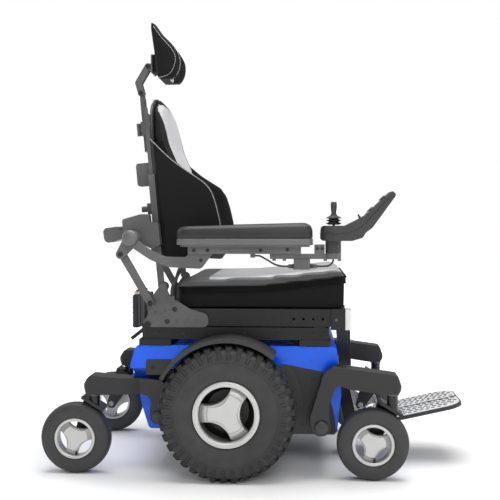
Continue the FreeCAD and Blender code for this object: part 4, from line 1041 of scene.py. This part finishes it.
pod_black = finish("pod_black", coated_surface, colour=(0.028, 0.028, 0.029), tint=(0.04, 0.04, 0.041),
                   worn=(0.10, 0.10, 0.10), roughness=0.4, grain_size=1500.0, grain_depth=0.25,
                   edge_radius=0.0025)
key_grey = finish("key_grey", coated_surface, colour=(0.16, 0.16, 0.16), tint=(0.20, 0.20, 0.20),
                  worn=(0.3, 0.3, 0.3), roughness=0.45, grain_depth=0.1, edge_radius=0.0005)
soft_rubber = finish("soft_rubber", moulded_rubber, colour=(0.010, 0.010, 0.010), dust=(0.03, 0.03, 0.03),
                     roughness=0.55, dustiness=0.4, grain_depth=0.2)
cable_jacket = finish("cable_jacket", moulded_rubber, colour=(0.014, 0.014, 0.014), dust=(0.04, 0.04, 0.04),
                      roughness=0.42, dustiness=0.4, grain_depth=0.15)
display_glass = bpy.data.materials.new("display_glass")
display_glass.use_nodes = True
screen = display_glass.node_tree
screen_shader = screen.nodes["Principled BSDF"]
smudge = add(screen, "ShaderNodeTexNoise", {"Vector": add(screen, "ShaderNodeTexCoord").outputs["Object"],
                                            "Scale": 60.0, "Detail": 3.0})
gloss = add(screen, "ShaderNodeMapRange", {"Value": smudge.outputs["Fac"], "To Min": 0.05, "To Max": 0.16})
screen.links.new(gloss.outputs[0], screen_shader.inputs["Roughness"])
screen_shader.inputs["Base Color"].default_value = (0.01, 0.012, 0.016, 1.0)
screen_shader.inputs["Coat Weight"].default_value = 0.5

paint(pod_black, "joystick_pod", "pod_toggle")
paint(arm_grey, "joystick_mount")
paint(key_grey, "pod_button_lower", "pod_button_upper", "joystick_gimbal")
paint(cable_jacket, "joystick_cable", "cable_loom")


def upright_turned(profile, x, y, steps=48):
    """A shape turned about a vertical axis from (radius, z) points in millimetres."""
    shape = bmesh.new()
    points = [shape.verts.new(at(x + radius, y, z)) for radius, z in profile]
    edges = [shape.edges.new(pair) for pair in zip(points, points[1:])]
    bmesh.ops.spin(shape, geom=points + edges, cent=at(x, y, 0), axis=(0, 0, 1), angle=2 * pi, steps=steps,
                   use_merge=True)
    bmesh.ops.remove_doubles(shape, verts=shape.verts, dist=1e-6)
    bmesh.ops.recalc_face_normals(shape, faces=shape.faces)
    return shape


STICK = (273.0, -290.0)
bellows = upright_turned([(0.0, 662.5), (15, 662.5), (15.5, 664.0), (19.6, 665.4), (20.0, 666.4), (19.6, 667.0),
                          (13.6, 668.6), (13.0, 670.2), (13.8, 671.4), (18.4, 672.6), (18.8, 673.6),
                          (18.2, 674.4), (12.6, 676.0), (12.2, 677.4), (13.0, 678.4), (19.4, 679.0),
                          (19.8, 680.0), (19.2, 680.8), (11.0, 684.6), (8.2, 687.5), (6.2, 691.0),
                          (5.4, 693.5), (0.0, 693.8)], *STICK)
piece("stick_bellows", bellows, soft_rubber, "stick", ["joystick_boot"], crease=50.0)
knob = upright_turned([(0.0, 690.0), (5.2, 690.0), (5.8, 691.5), (6.6, 697), (7.6, 705), (7.9, 712), (7.6, 717),
                       (6.8, 719.8), (5.4, 721.0), (3.4, 720.4), (0.0, 720.0)], *STICK)
shaft = upright_turned([(0.0, 656.0), (3.0, 656.0), (3.0, 691.0), (0.0, 691.0)], *STICK, steps=20)
join_in(knob, shaft)
piece("stick_knob", knob, pod_black, "stick", ["joystick_stick"], crease=50.0)

PANEL_LOW, PANEL_HIGH = Vector((352.0, 0.0, 686.0)), Vector((417.0, 0.0, 748.0))
panel_run = (PANEL_HIGH - PANEL_LOW).normalized()
panel_out = Vector((-panel_run.z, 0.0, panel_run.x))


def on_panel(along, across, out):
    """A point on the joystick's raised panel, in millimetres from the middle of its lower edge."""
    spot = PANEL_LOW + panel_run * along + panel_out * out
    return at(spot.x, -290 + across, spot.z)


def panel_tile(along0, along1, half, base, top, round_by, edge):
    """Rounded tile that stands on the raised panel."""
    tile = bmesh.new()
    corners = [tile.verts.new(on_panel(a, c, base)) for a, c in
               ((along0, -half), (along1, -half), (along1, half), (along0, half))]
    tile.faces.new(corners)
    bmesh.ops.bevel(tile, geom=corners, offset=round_by / 1000, affect="VERTICES", segments=5, profile=0.5,
                    material=-1)
    grown = bmesh.ops.extrude_face_region(tile, geom=tile.faces[:])["geom"]
    raised = [v for v in grown if isinstance(v, bmesh.types.BMVert)]
    bmesh.ops.translate(tile, vec=panel_out * (top - base) / 1000, verts=raised)
    ring = [e for e in tile.edges if all(v in raised for v in e.verts)]
    bmesh.ops.bevel(tile, geom=ring, offset=edge / 1000, affect="EDGES", segments=2, profile=0.5, material=-1)
    bmesh.ops.recalc_face_normals(tile, faces=tile.faces)
    return tile


piece("pod_display", panel_tile(31, 55, 26, -0.5, 0.8, 2.5, 0.4), display_glass, "joystick_head")
keys = panel_tile(4.5, 13.0, 30, -0.5, 1.6, 2.0, 0.5)
join_in(keys, panel_tile(68, 78, 30, -0.5, 1.6, 2.0, 0.5))
piece("pod_key_bars", keys, key_grey, "joystick_head")
for name, share in (("lower", 0.22), ("upper", 0.68)):
    middle = share * (PANEL_HIGH - PANEL_LOW).length
    piece("key_cap_" + name, panel_tile(middle - 9, middle + 9, 11, 2.6, 4.6, 3.0, 0.7), key_grey,
          "button_" + name)

seam_side = [(262, 640), (300, 640.5), (322, 646), (340, 657), (354, 670), (372, 690), (394, 714), (416, 738)]
cord_line("pod_parting_near", [at(x, -334.3, z) for x, z in seam_side], 0.8, valve_black, "joystick_head")
cord_line("pod_parting_far", [at(x, -245.7, z) for x, z in seam_side], 0.8, valve_black, "joystick_head")
cord_line("pod_parting_rear", [at(270 - 44 * cos(radians(a)) * 0.75, -290 + 44.4 * sin(radians(a)), 640)
                               for a in range(-90, 91, 15)], 0.8, valve_black, "joystick_head")


def ribbed_relief(x, towards):
    """Ribbed strain relief where a cable enters the joystick's junction block."""
    shape = bmesh.new()
    profile = [(0.0, 0.0)]
    for step in range(5):
        low, high = step * 3.0, step * 3.0 + 1.6
        size = 6.4 - step * 0.45
        profile += [(size, low), (size, high), (size - 1.6, high + 0.3), (size - 1.6, low + 2.8)]
    profile += [(3.4, 15.2), (0.0, 15.2)]
    points = [shape.verts.new((radius / 1000, 0, z / 1000)) for radius, z in profile]
    edges = [shape.edges.new(pair) for pair in zip(points, points[1:])]
    bmesh.ops.spin(shape, geom=points + edges, cent=(0, 0, 0), axis=(0, 0, 1), angle=2 * pi, steps=24,
                   use_merge=True)
    bmesh.ops.remove_doubles(shape, verts=shape.verts, dist=1e-6)
    placed = Matrix.Translation(at(x, -290, 556)) @ upright((towards, 0, 0))
    bmesh.ops.transform(shape, verts=shape.verts, matrix=placed)
    bmesh.ops.recalc_face_normals(shape, faces=shape.faces)
    return shape


reliefs = ribbed_relief(213, 1)
join_in(reliefs, ribbed_relief(171, -1))
piece("cable_reliefs", reliefs, soft_rubber, "armrest_right")
mount_screws = bmesh.new()
for x, z in ((231, 602), (244, 602)):
    join_in(mount_screws, bolt_head(at(x, -300.1, z), (0, -1, 0), 4.0, 2.0))
piece("mount_screws", mount_screws, black_screw, "armrest_right")


# ---- Footrest ----
# Painted column with two hinged cast footplates. Each plate has a black moulded edge and a
# bright top sheet, with staggered rows of short rubber grips let into it.

bright_sheet = finish("bright_sheet", satin_alloy, metallic=0.35, colour=(0.78, 0.78, 0.78),
                      tint=(0.70, 0.70, 0.70),
                      roughness=0.32, grain_size=500.0, grain_depth=0.08, edge_radius=0.0006)
grip_rubber = finish("grip_rubber", moulded_rubber, colour=(0.012, 0.012, 0.012), dust=(0.04, 0.04, 0.04),
                     roughness=0.6, dustiness=0.3, grain_depth=0.2)
paint(satin_casting, "legrest_hanger")
paint(textured_black, "footplate_left", "footplate_right")
SLOPE = radians(13.0)


def on_plate(along, across, up):
    """A point on the footplates, in millimetres from under the toes, along their slope."""
    return at(479 + along * cos(SLOPE) - up * sin(SLOPE), across, 133 + along * sin(SLOPE) + up * cos(SLOPE))


def top_sheet(sign):
    sheet = bmesh.new()
    corners = [(-127, 7.5, 3), (-127, 101.5, 14), (159.5, 101.5, 42), (159.5, 7.5, 7)]
    verts = [sheet.verts.new((a, b, 0)) for a, b, _ in corners]
    sheet.faces.new(verts)
    for vert, (_, _, radius) in zip(verts, corners):
        bmesh.ops.bevel(sheet, geom=[vert], offset=radius, affect="VERTICES", segments=8, profile=0.5, material=-1)
    grown = bmesh.ops.extrude_face_region(sheet, geom=sheet.faces[:])["geom"]
    raised = [v for v in grown if isinstance(v, bmesh.types.BMVert)]
    bmesh.ops.translate(sheet, vec=(0, 0, 1.6), verts=raised)
    ring = [e for e in sheet.edges if all(v in raised for v in e.verts)]
    bmesh.ops.bevel(sheet, geom=ring, offset=0.5, affect="EDGES", segments=2, profile=0.5, material=-1)
    for vert in sheet.verts:
        vert.co = on_plate(vert.co.x, sign * vert.co.y, vert.co.z + 0.05)
    bmesh.ops.recalc_face_normals(sheet, faces=sheet.faces)
    return sheet


def grips(sign):
    whole = bmesh.new()
    for column in range(17):
        for row in range(5):
            along = -118 + column * 16.6 + (row % 2) * 5.5
            across = 16 + row * 17.5 + (column % 2) * 4.0
            if along > 150 or (along > 128 and across > 78) or across > 96:
                continue
            dash = bmesh.new()
            bmesh.ops.create_cube(dash, size=1.0)
            ends = [e for e in dash.edges if abs(e.verts[0].co.z - e.verts[1].co.z) > 0.5]
            bmesh.ops.scale(dash, vec=(11.0, 4.2, 1.6), verts=dash.verts)
            bmesh.ops.bevel(dash, geom=ends, offset=1.6, affect="EDGES", segments=2, profile=0.5, material=-1)
            bmesh.ops.rotate(dash, cent=(0, 0, 0), matrix=Matrix.Rotation(radians(24 * sign), 3, "Z"),
                             verts=dash.verts)
            for vert in dash.verts:
                vert.co = on_plate(along + vert.co.x, sign * across + vert.co.y, 2.0 + vert.co.z)
            join_in(whole, dash)
    bmesh.ops.recalc_face_normals(whole, faces=whole.faces)
    return whole


for side, sign in (("left", 1), ("right", -1)):
    piece("plate_sheet_" + side, top_sheet(sign), bright_sheet, "footplate_%s_flap" % side)
    piece("plate_grips_" + side, grips(sign), grip_rubber, "footplate_%s_flap" % side)


# ---- Control module and wiring ----
# The power module hangs behind the base in a finned case, with a white and a red connector on
# its top, and dark discs behind the drive wheels close off the gearboxes.

plug_white = finish("plug_white", coated_surface, colour=(0.75, 0.75, 0.74), tint=(0.7, 0.7, 0.7),
                    worn=(0.8, 0.8, 0.8), roughness=0.4, edge_radius=0.0008)
plug_red = finish("plug_red", coated_surface, colour=(0.62, 0.008, 0.008), tint=(0.5, 0.006, 0.006),
                  worn=(0.7, 0.1, 0.1), roughness=0.35, edge_radius=0.0008)


def soft_box(x0, x1, y0, y1, z0, z1, edge):
    """Box with rounded edges, between two corners in millimetres."""
    shape = bmesh.new()
    bmesh.ops.create_cube(shape, size=1.0)
    for vert in shape.verts:
        vert.co = at(x1 if vert.co.x > 0 else x0, y1 if vert.co.y > 0 else y0, z1 if vert.co.z > 0 else z0)
    bmesh.ops.bevel(shape, geom=shape.edges, offset=edge / 1000, affect="EDGES", segments=2, profile=0.5,
                    material=-1)
    return shape


paint(plate_grey, "control_module")
case = soft_box(-287, -270, -81, 81, 369, 463, 3)
for step in range(12):
    join_in(case, soft_box(-289.5, -285, -76, 76, 374 + step * 7.2, 377 + step * 7.2, 0.8))
piece("module_case", case, textured_black, "base")
piece("module_plug_white", soft_box(-284, -268, -74, -30, 463.2, 470, 1.0), plug_white, "base")
piece("module_plug_red", soft_box(-281, -271, -62, -46, 470.2, 475, 1.2), plug_red, "base")

for side, sign in (("left", 1), ("right", -1)):
    disc = turned([(-60.5, 57), (-60.5, 112), (-58.0, 112), (-56.0, 108), (-55.5, 84), (-53.0, 82), (-53.0, 57)],
                  WHEEL_Y, 0, WHEEL_Z, 72)
    if sign < 0:
        mirror_over(disc)
    piece("gearbox_shield_" + side, disc, textured_black, "base")
